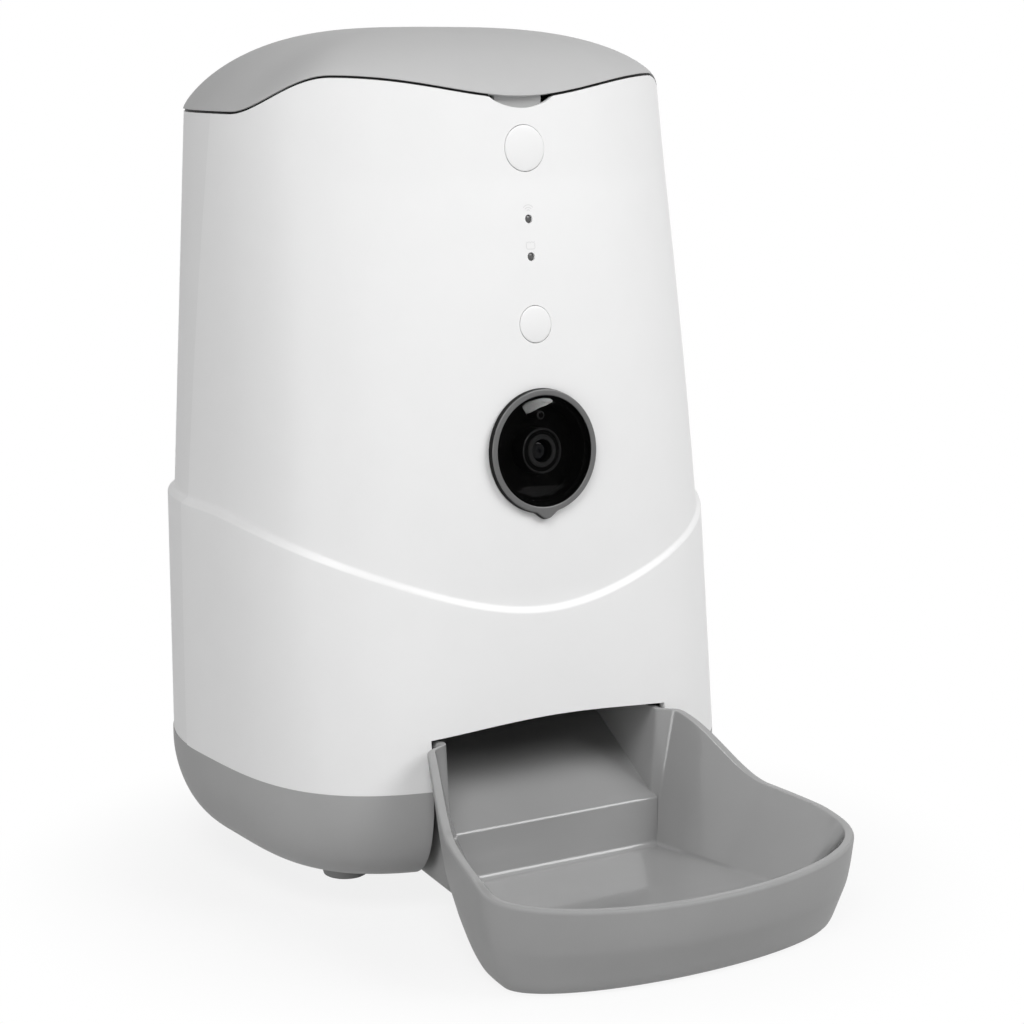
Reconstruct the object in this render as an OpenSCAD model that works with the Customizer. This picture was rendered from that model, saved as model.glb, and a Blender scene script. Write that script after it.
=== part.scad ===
// Automatic pet feeder with a camera: a two-part white shell on a grey base, a hinged lid
// over a food hopper, a motor-driven dosing wheel, and a bowl that slides out of the front.
// Millimetres. +Z is up, the bowl points to -Y, and the table is at z = 0.

/* [Body] */
// Width of the body where the shell meets the base
body_w = 200; // [192:1:212]
// Reach of the body in front of its widest section, at the base seam
body_front = 93.7; // [90:0.1:100]
// Reach of the body behind its widest section, at the base seam
body_back = 95.3; // [92:0.1:104]
// Width of the skirt at the height of the front ridge
skirt_w = 202; // [196:1:214]
// Front reach of the skirt at the height of the front ridge
skirt_front = 86.9; // [85:0.1:92]
// Back reach of the skirt at the height of the front ridge
skirt_back = 93; // [90:0.1:100]
// Width of the shell at the collar, just below the lid
collar_w = 187; // [182:1:198]
// Front reach of the shell at the collar
collar_front = 70.8; // [69:0.1:76]
// Back reach of the shell at the collar
collar_back = 84.8; // [82:0.1:92]
// Outward bow of the front wall between the ridge and the collar
front_bow = 1.7; // [0:0.1:3]
// Wall of the shell, the base and the lid
wall = 2.5; // [2:0.1:3]
// How far the skirt stands out from the upper shell at the ridge
ridge_step = 1.2; // [0.6:0.1:2]
// Height of the soft step at the ridge
ridge_h = 3; // [2:0.5:5]
// Height of the ridge at the front centre
ridge_front_z = 108; // [100:1:116]
// Height of the ridge at the sides and the back
ridge_side_z = 143; // [136:1:150]
// Plane where the front shell meets the back cover
part_y = 65; // [58:1:70]

/* [Base] */
// Height of the seam between the base and the shell
border_z = 47.7; // [45:0.1:52]
// Height of the flat underside of the base
base_z = 13.5; // [12:0.5:15]
// Height over which the lower edge of the base is rounded
base_round = 30.5; // [24:0.5:32]
// How far the rounding draws the underside in
base_inset = 17.5; // [14:0.5:20]
// Diameter of a rubber foot
foot_d = 17; // [14:1:20]
// Height of a rubber foot
foot_h = 6; // [4:0.5:8]

/* [Lid] */
// Height of the top of the lid
lid_top_z = 317.4; // [314:0.5:325]
// Height of the lid seam at the front centre
seam_front_z = 292.3; // [290:0.1:294]
// Height of the lid seam at the front corners
seam_corner_z = 299.8; // [297:0.1:302]
// Height of the lid seam at the sides and the back
seam_back_z = 286.7; // [286:0.1:288]
// Gap between the lid and the shell
seam_gap = 1; // [0.6:0.1:1.4]
// Width of the finger tab at the front of the lid
tab_w = 24; // [18:1:30]
// How far the finger tab hangs below the lid edge
tab_drop = 3.1; // [2:0.1:4]
// Diameter of the hinge pin
hinge_pin_d = 4; // [3:0.5:5]
// Diameter of a hinge knuckle
knuckle_d = 7.5; // [7:0.5:9]
// Length of the hinge, over all its knuckles
hinge_len = 44; // [36:1:60]

/* [Bowl] */
// Width of the bowl across its tray
tray_w = 154.6; // [146:0.2:166]
// Gap between the neck of the bowl and each side of the mouth
neck_gap = 2; // [1.2:0.1:5]
// Reach of the bowl in front of the body's widest section
bowl_reach = 195; // [188:1:206]
// Length of the rounded nose of the tray
nose_len = 33; // [28:1:40]
// Height of the rim at the front of the tray
rim_front_z = 33; // [30:0.5:38]
// Height of the rim at the neck
rim_neck_z = 65; // [63:0.1:65.2]
// Height of the tray floor
floor_z = 13.5; // [12.5:0.1:15]
// Height of the ledge where the ramp ends above the tray floor
ledge_z = 31.2; // [28:0.2:34]
// Clearance under the tray
bowl_ground = 0.8; // [0.6:0.1:1.2]
// Wall of the bowl
bowl_wall = 3.5; // [3:0.1:4]
// Rise of the ramp for each millimetre of depth
ramp_slope = 0.6; // [0.5:0.02:0.66]
// Width of the mouth in the shell and the base
mouth_w = 102.4; // [90:0.1:108]
// Height of the mouth at its centre
mouth_z = 69.1; // [68.5:0.1:72]

/* [Front panel] */
// Height of the feed button
feed_button_z = 274.1; // [272:0.1:274.5]
// Diameter of the feed button
feed_button_d = 16.6; // [14:0.1:17]
// Height of the function button
function_button_z = 211.2; // [206:0.1:216]
// Diameter of the function button
function_button_d = 13.3; // [11:0.1:16]
// Press travel of a button
button_travel = 0.8; // [0.5:0.1:0.9]
// Height of the upper light
light_upper_z = 248.9; // [246:0.1:252]
// Height of the lower light
light_lower_z = 235.4; // [232:0.1:238]
// Diameter of a light pipe
light_d = 3; // [2:0.1:4]
// Height of the camera axis
camera_z = 165.5; // [160:0.5:172]
// Diameter of the camera bezel
bezel_d = 46; // [44:0.5:52]
// How far the bezel stands out of the shell
bezel_proud = 2.4; // [1.8:0.1:3.5]
// Diameter of the camera window
window_d = 40.4; // [38:0.1:42]
// Diameter of the lens barrel
lens_d = 16.7; // [14:0.1:20]

/* [Dosing] */
// Place of the dosing wheel in front of the body's widest section
dose_front = 8; // [6:0.5:10]
// Inner diameter of the dosing chamber
chamber_d = 111; // [108:0.5:116]
// Wall of the dosing chamber
chamber_wall = 2.5; // [2:0.1:3]
// Number of vanes on the dosing wheel
vanes = 6; // [4:1:8]
// Thickness of a vane
vane_t = 3; // [2:0.1:4]
// Diameter of the dosing shaft
shaft_d = 8; // [6:0.5:10]
// Teeth on the drive gear
gear_teeth = 48; // [44:1:50]
// Teeth on the motor pinion
pinion_teeth = 12; // [12:1:14]
// Gear module
gear_m = 1; // [0.9:0.05:1.05]
// Diameter of the gear motor
motor_d = 34; // [28:1:36]
// Length of the gear motor
motor_len = 40; // [30:1:46]

/* [Clearances] */
// Running clearance of a shaft in its bore, on the radius
run_gap = 0.04; // [0.02:0.01:0.08]
// Gap round a button in its hole, on the radius
button_gap = 0.2; // [0.15:0.05:0.4]
// Gap between a moving piece and the face that carries it
seat_gap = 0.3; // [0.25:0.05:0.4]

/* [Hidden] */
$fn = 64;
eps = 0.01;

// Columns round a full ring, and across the front shell and the back cover
ring_cols = 72;
front_cols = 64;
back_cols = 24;

// Reference heights of the shell sections
ridge_ref_z = 113.5;
collar_z = 263.5;
corner_n_base = 3.55;
corner_n_collar = 2.5;
back_n = 2.1;
ridge_side_angle = 84;
seam_corner_angle = 54;
seam_back_angle = 80;

// The middle of the whole depth is the origin
origin_y = (body_back - bowl_reach) / 2;

function lerp(a, b, t) = a + (b - a) * t;
function ease(t) = (1 - cos(180 * min(1, max(0, t)))) / 2;
function flat(rows) = [for (row = rows) for (p = row) p];
function shrink(d, t) = [d[0] - t, d[1] - t, d[2] - t];

// A section is [half width, front reach, back reach]
function skirt_section(z) = let (t = (z - border_z) / (ridge_ref_z - border_z))
    [lerp(body_w, skirt_w, t) / 2, lerp(body_front, skirt_front, t), lerp(body_back, skirt_back, t)];
function upper_section(z) = let (t = (z - ridge_ref_z) / (collar_z - ridge_ref_z))
    [lerp(skirt_w / 2 - ridge_step, collar_w / 2, t),
     lerp(skirt_front - ridge_step, collar_front, t) + max(0, front_bow * 4 * t * (1 - t)),
     lerp(skirt_back - ridge_step, collar_back, t)];
function corner_n(z) = let (t = (z - border_z) / (collar_z - border_z))
    lerp(corner_n_base, corner_n_collar, max(0, t));

// Reach of a section in the direction a, measured from the front towards +X
function reach(d, n, a) = let (m = cos(a) > 0 ? n : back_n, depth = cos(a) > 0 ? d[1] : d[2])
    pow(pow(abs(sin(a)) / d[0], m) + pow(abs(cos(a)) / depth, m), -1 / m);
function rim_point(d, n, a, z) = let (r = reach(d, n, a)) [r * sin(a), -r * cos(a), z];
function ring(d, n, z) = [for (j = [0:ring_cols - 1]) rim_point(d, n, 360 * j / ring_cols, z)];
function outline(d, n) = [for (p = ring(d, n, 0)) [p[0], p[1]]];
// Height lines round the body
function turn(a) = abs(a > 180 ? a - 360 : a);
function ridge_z(a) = lerp(ridge_front_z, ridge_side_z, ease(turn(a) / ridge_side_angle));
function seam_z(a) = turn(a) < seam_corner_angle
    ? lerp(seam_front_z, seam_corner_z, ease(turn(a) / seam_corner_angle))
    : lerp(seam_corner_z, seam_back_z,
        ease((turn(a) - seam_corner_angle) / (seam_back_angle - seam_corner_angle)));

// Rows of the shell walls: [0, t] lies on the skirt, [1, t] on the upper shell
shell_rows = concat([for (t = [0, 0.5, 1]) [0, t]], [for (t = [0:0.125:1]) [1, t]]);
function row_z(row, a) = row[0] == 0
    ? lerp(border_z, ridge_z(a) - ridge_h / 2, row[1])
    : lerp(ridge_z(a) + ridge_h / 2, seam_z(a) - seam_gap / 2, row[1]);
function row_section(row, z, inset) = shrink(row[0] == 0 ? skirt_section(z) : upper_section(z), inset);
// Direction in which a section crosses the parting plane
function part_angle(d) = let (x = d[0] * pow(1 - pow(part_y / d[2], back_n), 1 / back_n))
    90 + atan2(part_y, x);
function row_limit(row, inset) = part_angle(row_section(row, row_z(row, 180), inset));
function wall_point(row, a, inset) = let (z = row_z(row, a))
    rim_point(row_section(row, z, inset), corner_n(z), a, z);
function front_grid(inset) = [for (row = shell_rows) let (lim = row_limit(row, inset))
    [for (j = [0:front_cols]) wall_point(row, lim * (2 * j / front_cols - 1), inset)]];
function back_grid(inset) = [for (row = shell_rows) let (lim = row_limit(row, inset))
    [for (j = [0:back_cols]) wall_point(row, lerp(lim, 360 - lim, j / back_cols), inset)]];

// Front face of the upper shell on the centre line, and its backward lean
function front_y(z) = -upper_section(z)[1];
function front_tilt(z) = atan((upper_section(z - 1)[1] - upper_section(z + 1)[1]) / 2);
// Inner face of the back cover at a place
function cover_y(x, z) = let (d = shrink(z < ridge_side_z ? skirt_section(z) : upper_section(z), wall))
    d[2] * pow(1 - pow(abs(x) / d[0], back_n), 1 / back_n);

// Base rounding
base_n = corner_n_base;
base_power = 1.8;
function base_draw(z) = let (t = min(1, max(0, (base_z + base_round - z) / base_round)))
    base_inset * (1 - pow(1 - pow(t, base_power), 1 / base_power));
function base_section(z, inset) = shrink([body_w / 2, body_front, body_back], base_draw(z) + inset);
base_floor_z = base_z + wall;
base_levels = [for (a = [0:15:90]) base_z + base_round * (1 - pow(cos(a), 2 / base_power))];
base_inner_levels = [for (t = [0, 0.12, 0.3, 0.6, 1]) lerp(base_floor_z, border_z, t)];
base_outer = [for (z = concat(base_levels, [border_z])) ring(base_section(z, 0), base_n, z)];
base_inner = [for (z = base_inner_levels) ring(base_section(z, wall), base_n, z)];
foot_places = [[-53, -28], [53, -28], [-50, 48], [50, 48]];
foot_seat_d = foot_d + 3;
foot_bevel = 1;
// Rise of the mouth's arched top, and the cut of its corners
mouth_arch = 3.1;
mouth_corner = 3;
// Play of the bowl's rebate over its rail, and of a screw or the inlet in its hole
rail_play = 0.7;
hole_play = 0.4;
grille_d = 3;

// Lid dome: height share against the share of the plan reach
dome_rise = 1.3;
dome_flank = 3;
dome_shares = [1, 0.99, 0.97, 0.94, 0.89, 0.8, 0.66, 0.45, 0.15];
function dome_h(share) = share < 0.2 ? 1 : pow(1 - pow(share, dome_flank), 1 / dome_rise);
function lid_edge_z(a) = seam_z(a) + seam_gap / 2;
function dome_point(a, share, inset) = let (z0 = lid_edge_z(a),
    d = shrink(upper_section(z0), inset), r = share * reach(d, corner_n(z0), a))
    [r * sin(a), -r * cos(a), lerp(z0, lid_top_z - inset, dome_h(share))];
function dome(inset) = [for (share = dome_shares)
    [for (j = [0:ring_cols - 1]) dome_point(360 * j / ring_cols, share, inset)]];
// Height of the underside of the lid over a place
function lid_under(x, y) = let (a = atan2(x, -y), z0 = lid_edge_z(a),
    share = norm([x, y]) / reach(shrink(upper_section(z0), wall), corner_n(z0), a))
    lerp(z0, lid_top_z - wall, dome_h(max(share, 0.25)));

// Finger tab at the front of the lid
tab_gap = 0.4;
tab_inset = 0.2;

// Hinge at the back of the lid
knuckle_gap = 0.4;
knuckle_side_gap = 0.2;
hinge_drop = 2.2;
hinge_z = seam_back_z - hinge_drop;
hinge_y = upper_section(hinge_z)[2] + knuckle_d / 2 + knuckle_gap;
knuckle_len = hinge_len / 4;

// Hopper and the flange round its mouth
flange_t = 2.5;
flange_top_z = seam_back_z - seam_gap / 2 - 0.5;
flange_z = flange_top_z - flange_t;
flange_gap = 0.4;
dose_y = -dose_front;
deck_z = rim_neck_z + 2;
deck_t = 3;
deck_w = 140;
deck_len = 78;
deck_y = 9;
deck_r = 10;
drive_room = 14;
chamber_floor_z = deck_z + deck_t + drive_room;
chamber_floor_t = 3;
chamber_h = 37;
chamber_top_z = chamber_floor_z + chamber_h;
chamber_r = chamber_d / 2 + chamber_wall;
hopper_wall = 2;
hopper_shoulder_z = 190;
hopper_side_gap = 5;
hopper_front = 45;
hopper_n = 2.5;
throat_r = chamber_r;
throat_top_z = chamber_top_z + 6;

// Dosing drive, stacked on the deck
gear_z = deck_z + deck_t + 3;
gear_t = 6;
gear_hub_wall = 4;
gear_hub_rise = 1.5;
mesh_gap = 0.1;
gear_distance = gear_m * (gear_teeth + pinion_teeth) / 2 + mesh_gap;
motor_y = dose_y + gear_distance;
motor_step = 6;
motor_shaft_d = 4;
motor_shaft_in = 6;
motor_boss_d = 10;
bush_d = shaft_d + 6;
bush_flange_d = shaft_d + 10;
bush_flange_t = 1.5;
wheel_gap = 0.6;
wheel_h = 30;
hub_d = shaft_d + 16;
hub_cap = 4;
vane_root = 3;
vane_step = 0.5;
vane_tip_gap = 1.2;
outlet_w = 48;
outlet_len = 18;
outlet_y = dose_y - gear_m * (gear_teeth + 2) / 2 - 5;
funnel_wall = 2.5;
funnel_ear = 5;
funnel_ear_t = 2;
deck_posts = [[-62, -12], [62, -12], [-60, 36], [60, 36]];
post_d = 10;
screw_d = 3;
screw_len = 14;
screw_head_d = 6;
screw_head_t = 2.4;
chamber_legs = [[-47, 16], [47, 16], [-30, 40], [30, 40]];
leg_d = 9;

// Bowl outline, from the back of the neck round the nose
neck_hw = mouth_w / 2 - neck_gap;
tray_hw = tray_w / 2;
tray_y = -(bowl_reach - nose_len);
neck_y = 3.7 - body_front;
rebate_y = neck_y + 20;
bowl_back_y = rebate_y + 33;
rebate_z = 19.5;
rebate_in = 6;
neck_bottom_z = 9.5;
ledge_y = neck_y - 3.5;
step_y = ledge_y - 2.2;
shoulder_y = neck_y - 1;
shoulder_out = 6.8;
flare_y = ledge_y;
flare_curve = 1.4;
rim_start_y = neck_y + 3;
rim_fall = 44;
rim_pitch = 0.14;
rim_r = 2;
ramp_cover = 6;
bowl_bottom_in = 9;
crease_in = 2.5;
tray_hollow_in = 14;
neck_lean = 2.7;
tray_lean = 10.7;
lean_len = 62;
lean_curve = 1.6;
fillet_h = 2.5;
neck_fillet = 1;
tray_fillet = 4;
landing_y = min(bowl_back_y - 1, ledge_y + (rim_neck_z - ramp_cover - ledge_z) / ramp_slope);
side_ys = concat(
    [bowl_back_y, landing_y, rebate_y, rebate_y - 0.4, (rebate_y + neck_y) / 2, shoulder_y, flare_y, step_y],
    [for (t = [0.12:0.08:0.92]) lerp(neck_y, tray_y, t)]);
nose_steps = 14;
// A station is [y of the side or the turn on the nose, share of the nose]
stations = concat([for (y = side_ys) [y, 0]], [for (i = [0:nose_steps]) [tray_y, 90 * i / nose_steps]]);
// The outline steps out in front of the shell, then flares to the width of the tray
function shoulder(y) = shoulder_out * min(1, max(0, (shoulder_y - y) / (shoulder_y - flare_y)));
function side_hw(y) = y > flare_y ? neck_hw + shoulder(y)
    : lerp(neck_hw + shoulder_out, tray_hw, 1 - pow(1 - (flare_y - y) / (flare_y - tray_y), flare_curve));
function station_y(s) = s[0] - nose_len * sin(s[1]);
function tray_rim(y) = rim_front_z + rim_pitch * (y + bowl_reach);
function rim_z(y) = lerp(rim_neck_z, tray_rim(y), ease((rim_start_y - y) / rim_fall));
function ramp_z(y) = min(ledge_z + ramp_slope * (y - ledge_y), rim_neck_z - ramp_cover);
function bed_z(y) = y < step_y + eps ? floor_z : ramp_z(y);
function bottom_z(y) = lerp(bowl_ground, neck_bottom_z, ease((y - (tray_y + 12)) / 42));
// The walls lean in towards the floor, a little at the neck and far more round the tray
function floor_inset(y) = bowl_wall + neck_lean + shoulder(y)
    + tray_lean * (1 - pow(1 - min(1, max(0, (flare_y - y) / lean_len)), lean_curve));
function wall_inset(y, z) = lerp(bowl_wall, floor_inset(y), (rim_z(y) - z) / (rim_z(y) - floor_z));
// Wall profile at a station, from the underside over the rim to the bed: [inset, height]
function bowl_profile(y) =
    let (rim = rim_z(y), bed = bed_z(y), low = bottom_z(y), in_neck = y > step_y + eps)
    concat(
        y > rebate_y - eps
            ? [[rebate_in, low], [rebate_in, rebate_z], [0, rebate_z]]
            : [[bowl_bottom_in, low], [bowl_bottom_in - 3, low + 1.2], [crease_in, lerp(low, rim, 0.5)]],
        [[0, rim - rim_r], [0.9, rim - 0.3], [bowl_wall - 0.9, rim - 0.3], [bowl_wall, rim - rim_r]],
        [[wall_inset(y, bed + fillet_h), bed + fillet_h],
            [wall_inset(y, bed) + (in_neck ? neck_fillet : tray_fillet), bed]]);
function bowl_side(s, side) = let (y = station_y(s))
    [for (q = bowl_profile(y)) s[1] == 0
        ? [side * (side_hw(s[0]) - q[0]), s[0], q[1]]
        : [side * (tray_hw - q[0]) * cos(s[1]), tray_y - (nose_len - q[0]) * sin(s[1]), q[1]]];
// Outline of the hollow under the tray
hollow_stations = [for (s = stations) if (s[0] < (neck_y + tray_y) / 2) s];
function hollow_point(s, side) = s[1] == 0 ? [side * (side_hw(s[0]) - tray_hollow_in), s[0]]
    : [side * (tray_hw - tray_hollow_in) * cos(s[1]), tray_y - (nose_len - tray_hollow_in) * sin(s[1])];
tray_hollow = concat([for (s = hollow_stations) hollow_point(s, 1)],
    [for (i = [len(hollow_stations) - 2:-1:0]) hollow_point(hollow_stations[i], -1)]);

// Front panel
board_t = 1.6;
board_in = 13;
board_z = (feed_button_z + function_button_z) / 2;
board_w = 26;
board_post_x = 9.5;
board_post_d = 6;
switch_w = 6;
switch_t = 3.2;
stem_d = 5;
stem_in = board_in - switch_t - 1.5;
lug_t = 1.2;
lug_w = 3;
bezel_tube_d = window_d + 0.2;
bezel_hole_gap = 0.2;
bezel_seat_gap = 0.15;
window_t = 1.4;
window_gap = 0.1;
window_in = 0.4;
// Drop-shaped tab at the foot of the bezel: reach, half width at its root, root height, tip radius
drop_reach = 2.2;
drop_hw = 6.5;
drop_root = 1.2;
drop_r = 2.6;
lens_in = 3;
lens_nose = 2;
sensor_d = 3.2;
sensor_up = 13;
sensor_in = 0.6;
camera_depth = 12;
lens_glass_d = 9.2;
pipe_recess = 0.4;
pipe_gap = 0.1;

// Lid inside
liner_t = 2;
liner_inset = wall + 2.5;
seal_t = 3;
seal_h = 2.6;
seal_inset = liner_inset + 2;
liner_z = flange_top_z + seat_gap + seal_h;
liner_posts = [[-40, -20], [40, -20], [-40, 48], [40, 48]];
liner_post_d = 8;
dry_w = 46;
dry_len = 66;
dry_h = 12;
dry_wall = 1.6;
dry_y = 16;
dry_r = 6;
dry_pitch = 8;
dry_slot = 3;
dry_play = 2;

// Boards and the inlet at the back
main_w = 80;
radio_w = 28;
radio_h = 20;
radio_t = 4;
radio_up = 40;
plug_w = 18;
plug_h = 12;
plug_t = 8;
plug_x = 21;
plug_up = 6;
main_h = 70;
main_z = 80;
main_gap_y = 17;
main_y = skirt_back - main_gap_y;
main_posts = [[-32, 88], [32, 88], [-32, 142], [32, 142]];
main_post_d = 7;
socket_z = 30;
socket_d = 8;
socket_bore = 6.4;
socket_y = body_back - base_draw(socket_z);
speaker_place = [-30, 46];
speaker_d = 36;
speaker_h = 13;

module at_origin() {
    translate([0, -origin_y, 0]) children();
}

// Local frame on the front face: +Z points out of the shell, +Y up along it
module on_front(z) {
    translate([0, front_y(z), z]) rotate([90 - front_tilt(z), 0, 0]) children();
}

// Open wall between an outer and an inner grid of points
module panel(outer, inner) {
    rows = len(outer);
    cols = len(outer[0]);
    in0 = rows * cols;
    function quad(a, b, c, d) = [[a, b, c], [a, c, d]];
    function o(i, j) = i * cols + j;
    function n(i, j) = in0 + o(i, j);
    faces = flat(concat(
        [for (i = [0:rows - 2]) for (j = [0:cols - 2])
            quad(o(i, j), o(i + 1, j), o(i + 1, j + 1), o(i, j + 1))],
        [for (i = [0:rows - 2]) for (j = [0:cols - 2])
            quad(n(i, j), n(i, j + 1), n(i + 1, j + 1), n(i + 1, j))],
        [for (j = [0:cols - 2]) let (i = rows - 1) quad(o(i, j), n(i, j), n(i, j + 1), o(i, j + 1))],
        [for (j = [0:cols - 2]) quad(o(0, j), o(0, j + 1), n(0, j + 1), n(0, j))],
        [for (i = [0:rows - 2]) quad(o(i, 0), n(i, 0), n(i + 1, 0), o(i + 1, 0))],
        [for (i = [0:rows - 2]) let (j = cols - 1) quad(o(i, j), o(i + 1, j), n(i + 1, j), n(i, j))]));
    polyhedron(concat(flat(outer), flat(inner)), faces, convexity = 8);
}

// Closed rings stacked upwards as an outer and an inner skin, each end capped or open
module vessel(outer, inner, floor = false, roof = false) {
    cols = len(outer[0]);
    top = len(outer) - 1;
    in_top = len(inner) - 1;
    in0 = len(outer) * cols;
    function quad(a, b, c, d) = [[a, b, c], [a, c, d]];
    function o(i, j) = i * cols + j % cols;
    function n(i, j) = in0 + o(i, j);
    function loop(start, back) = [for (j = [0:cols - 1]) start + (back ? cols - 1 - j : j)];
    sides = flat(concat(
        [for (i = [0:top - 1]) for (j = [0:cols - 1])
            quad(o(i, j), o(i + 1, j), o(i + 1, j + 1), o(i, j + 1))],
        [for (i = [0:in_top - 1]) for (j = [0:cols - 1])
            quad(n(i, j), n(i, j + 1), n(i + 1, j + 1), n(i + 1, j))]));
    low = floor ? [loop(0, false), loop(in0, true)]
        : flat([for (j = [0:cols - 1]) quad(o(0, j), o(0, j + 1), n(0, j + 1), n(0, j))]);
    high = roof ? [loop(top * cols, true), loop(in0 + in_top * cols, false)]
        : flat([for (j = [0:cols - 1]) quad(o(top, j), n(in_top, j), n(in_top, j + 1), o(top, j + 1))]);
    polyhedron(concat(flat(outer), flat(inner)), concat(sides, low, high), convexity = 8);
}

// Solid stack of closed rings
module ring_solid(rings) {
    cols = len(rings[0]);
    top = len(rings) - 1;
    function o(i, j) = i * cols + j % cols;
    sides = flat([for (i = [0:top - 1]) for (j = [0:cols - 1])
        [[o(i, j), o(i + 1, j), o(i + 1, j + 1)], [o(i, j), o(i + 1, j + 1), o(i, j + 1)]]]);
    caps = [[for (j = [0:cols - 1]) j], [for (j = [cols - 1:-1:0]) top * cols + j]];
    polyhedron(flat(rings), concat(sides, caps), convexity = 4);
}

// Cylinder along Z from one height to another
module rod(d, z0, z1) {
    translate([0, 0, z0]) cylinder(d = d, h = z1 - z0);
}

// Cylinder along X, centred on the middle plane
module cross_rod(d, x0, x1) {
    translate([x0, 0, 0]) rotate([0, 90, 0]) cylinder(d = d, h = x1 - x0);
}

// Plate with rounded corners, centred in X and Y
module round_plate(w, l, t, r) {
    corners = [[w / 2 - r, l / 2 - r, 0], [r - w / 2, l / 2 - r, 90], [r - w / 2, r - l / 2, 180],
        [w / 2 - r, r - l / 2, 270]];
    linear_extrude(t) polygon([for (c = corners) for (a = [0:15:90])
        [c[0] + r * cos(c[2] + a), c[1] + r * sin(c[2] + a)]]);
}

// Spur gear with straight-flanked teeth
module spur_gear(teeth, t, phase) {
    pitch_r = gear_m * teeth / 2;
    root_r = pitch_r - 1.25 * gear_m;
    tip_r = pitch_r + 0.8 * gear_m;
    root_a = 1.06 * gear_m / root_r * 180 / PI;
    tip_a = 0.3 * gear_m / tip_r * 180 / PI;
    linear_extrude(t) polygon([for (i = [0:teeth - 1]) let (c = 360 * i / teeth + phase)
        for (q = [[root_r, -root_a], [tip_r, -tip_a], [tip_r, tip_a], [root_r, root_a]])
            [q[0] * cos(c + q[1]), q[0] * sin(c + q[1])]]);
}

// Arched mouth for the bowl, seen from the front
module mouth_cut() {
    half = mouth_w / 2;
    end_z = mouth_z - mouth_arch;
    rotate([90, 0, 0]) translate([0, 0, -bowl_back_y])
        linear_extrude(body_front)
            polygon(concat([[half, 0], [half, end_z - mouth_corner]],
                [for (x = [half - 1:-(2 * half - 2) / 16:1 - half - eps])
                    [x, end_z + mouth_arch * cos(90 * x / half)]],
                [[-half, end_z - mouth_corner], [-half, 0]]));
}

module front_shell() {
    color("white") at_origin() {
        difference() {
            union() {
                panel(front_grid(0), front_grid(wall));
                for (side = [-1, 1])
                    on_front(board_z) translate([side * board_post_x, 0, 0])
                        rod(board_post_d, -board_in, -wall / 2);
            }
            mouth_cut();
            on_front(camera_z) rod(bezel_tube_d + 2 * bezel_hole_gap, -2 * wall, wall);
            on_front(feed_button_z) rod(feed_button_d + 2 * button_gap, -2 * wall, wall);
            on_front(function_button_z) rod(function_button_d + 2 * button_gap, -2 * wall, wall);
            for (z = [light_upper_z, light_lower_z])
                on_front(z) rod(light_d + 2 * pipe_gap, -2 * wall, wall);
            translate([-tab_w / 2 - tab_gap, -body_front, seam_front_z - tab_drop])
                cube([tab_w + 2 * tab_gap, body_front / 2, lid_top_z - seam_front_z]);
        }
    }
}

module back_cover() {
    color("white") at_origin() {
        difference() {
            union() {
                panel(back_grid(0), back_grid(wall));
                for (p = main_posts)
                    translate([p[0], main_y + board_t, p[1]]) rotate([-90, 0, 0])
                        cylinder(d = main_post_d, h = cover_y(p[0], p[1]) + wall / 2 - main_y - board_t);
                translate([0, hinge_y, hinge_z]) cross_rod(knuckle_d, -knuckle_len, knuckle_len);
                translate([-knuckle_len, hinge_y - knuckle_d / 2 - knuckle_gap - wall / 2,
                    hinge_z - knuckle_d / 2])
                    cube([2 * knuckle_len, knuckle_d / 2 + knuckle_gap + wall / 2, knuckle_d / 2]);
            }
            translate([0, hinge_y, hinge_z]) cross_rod(hinge_pin_d + 2 * run_gap, -hinge_len, hinge_len);
        }
    }
}

// Walls of the bowl pocket and the rails that carry the neck
module pocket_walls() {
    half = mouth_w / 2;
    for (side = [-1, 1]) {
        translate([side * (half + wall / 2), bowl_back_y + wall, border_z / 2])
            translate([0, -body_front / 2, 0]) cube([wall, body_front, border_z], center = true);
        translate([side * (neck_hw - rebate_in + rail_play + (half - neck_hw + rebate_in) / 2),
            (rebate_y + bowl_back_y) / 2, (base_z + rebate_z - seat_gap) / 2])
            cube([half - neck_hw + rebate_in, bowl_back_y - rebate_y, rebate_z - seat_gap - base_z],
                center = true);
    }
    translate([-half - wall, bowl_back_y + seat_gap, 0]) cube([2 * half + 2 * wall, wall, border_z]);
}

module base_housing() {
    color("silver") at_origin() {
        difference() {
            union() {
                vessel(base_outer, base_inner, floor = true);
                intersection() {
                    ring_solid(base_outer);
                    pocket_walls();
                }
                for (p = foot_places) translate(p) rod(foot_seat_d, foot_h, base_floor_z);
            }
            difference() {
                translate([-mouth_w / 2, -bowl_reach, 0])
                    cube([mouth_w, bowl_reach + bowl_back_y, 2 * border_z]);
                pocket_walls();
            }
            for (p = deck_posts) translate(p) rod(screw_d + hole_play, 0, border_z);
            translate([0, body_back, socket_z]) rotate([90, 0, 0])
                cylinder(d = socket_d + hole_play, h = base_inset, center = true);
            translate(speaker_place) for (a = [0:60:300])
                rotate(a) translate([speaker_d / 4, 0, 0]) rod(grille_d, 0, base_floor_z + 1);
            translate(speaker_place) rod(grille_d, 0, base_floor_z + 1);
        }
    }
}

module rubber_feet() {
    color("lightgray") at_origin()
        for (p = foot_places)
            translate(p) rotate_extrude()
                polygon([[0, 0], [foot_d / 2 - foot_bevel, 0], [foot_d / 2, foot_bevel],
                    [foot_d / 2, foot_h], [0, foot_h]]);
}

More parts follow.
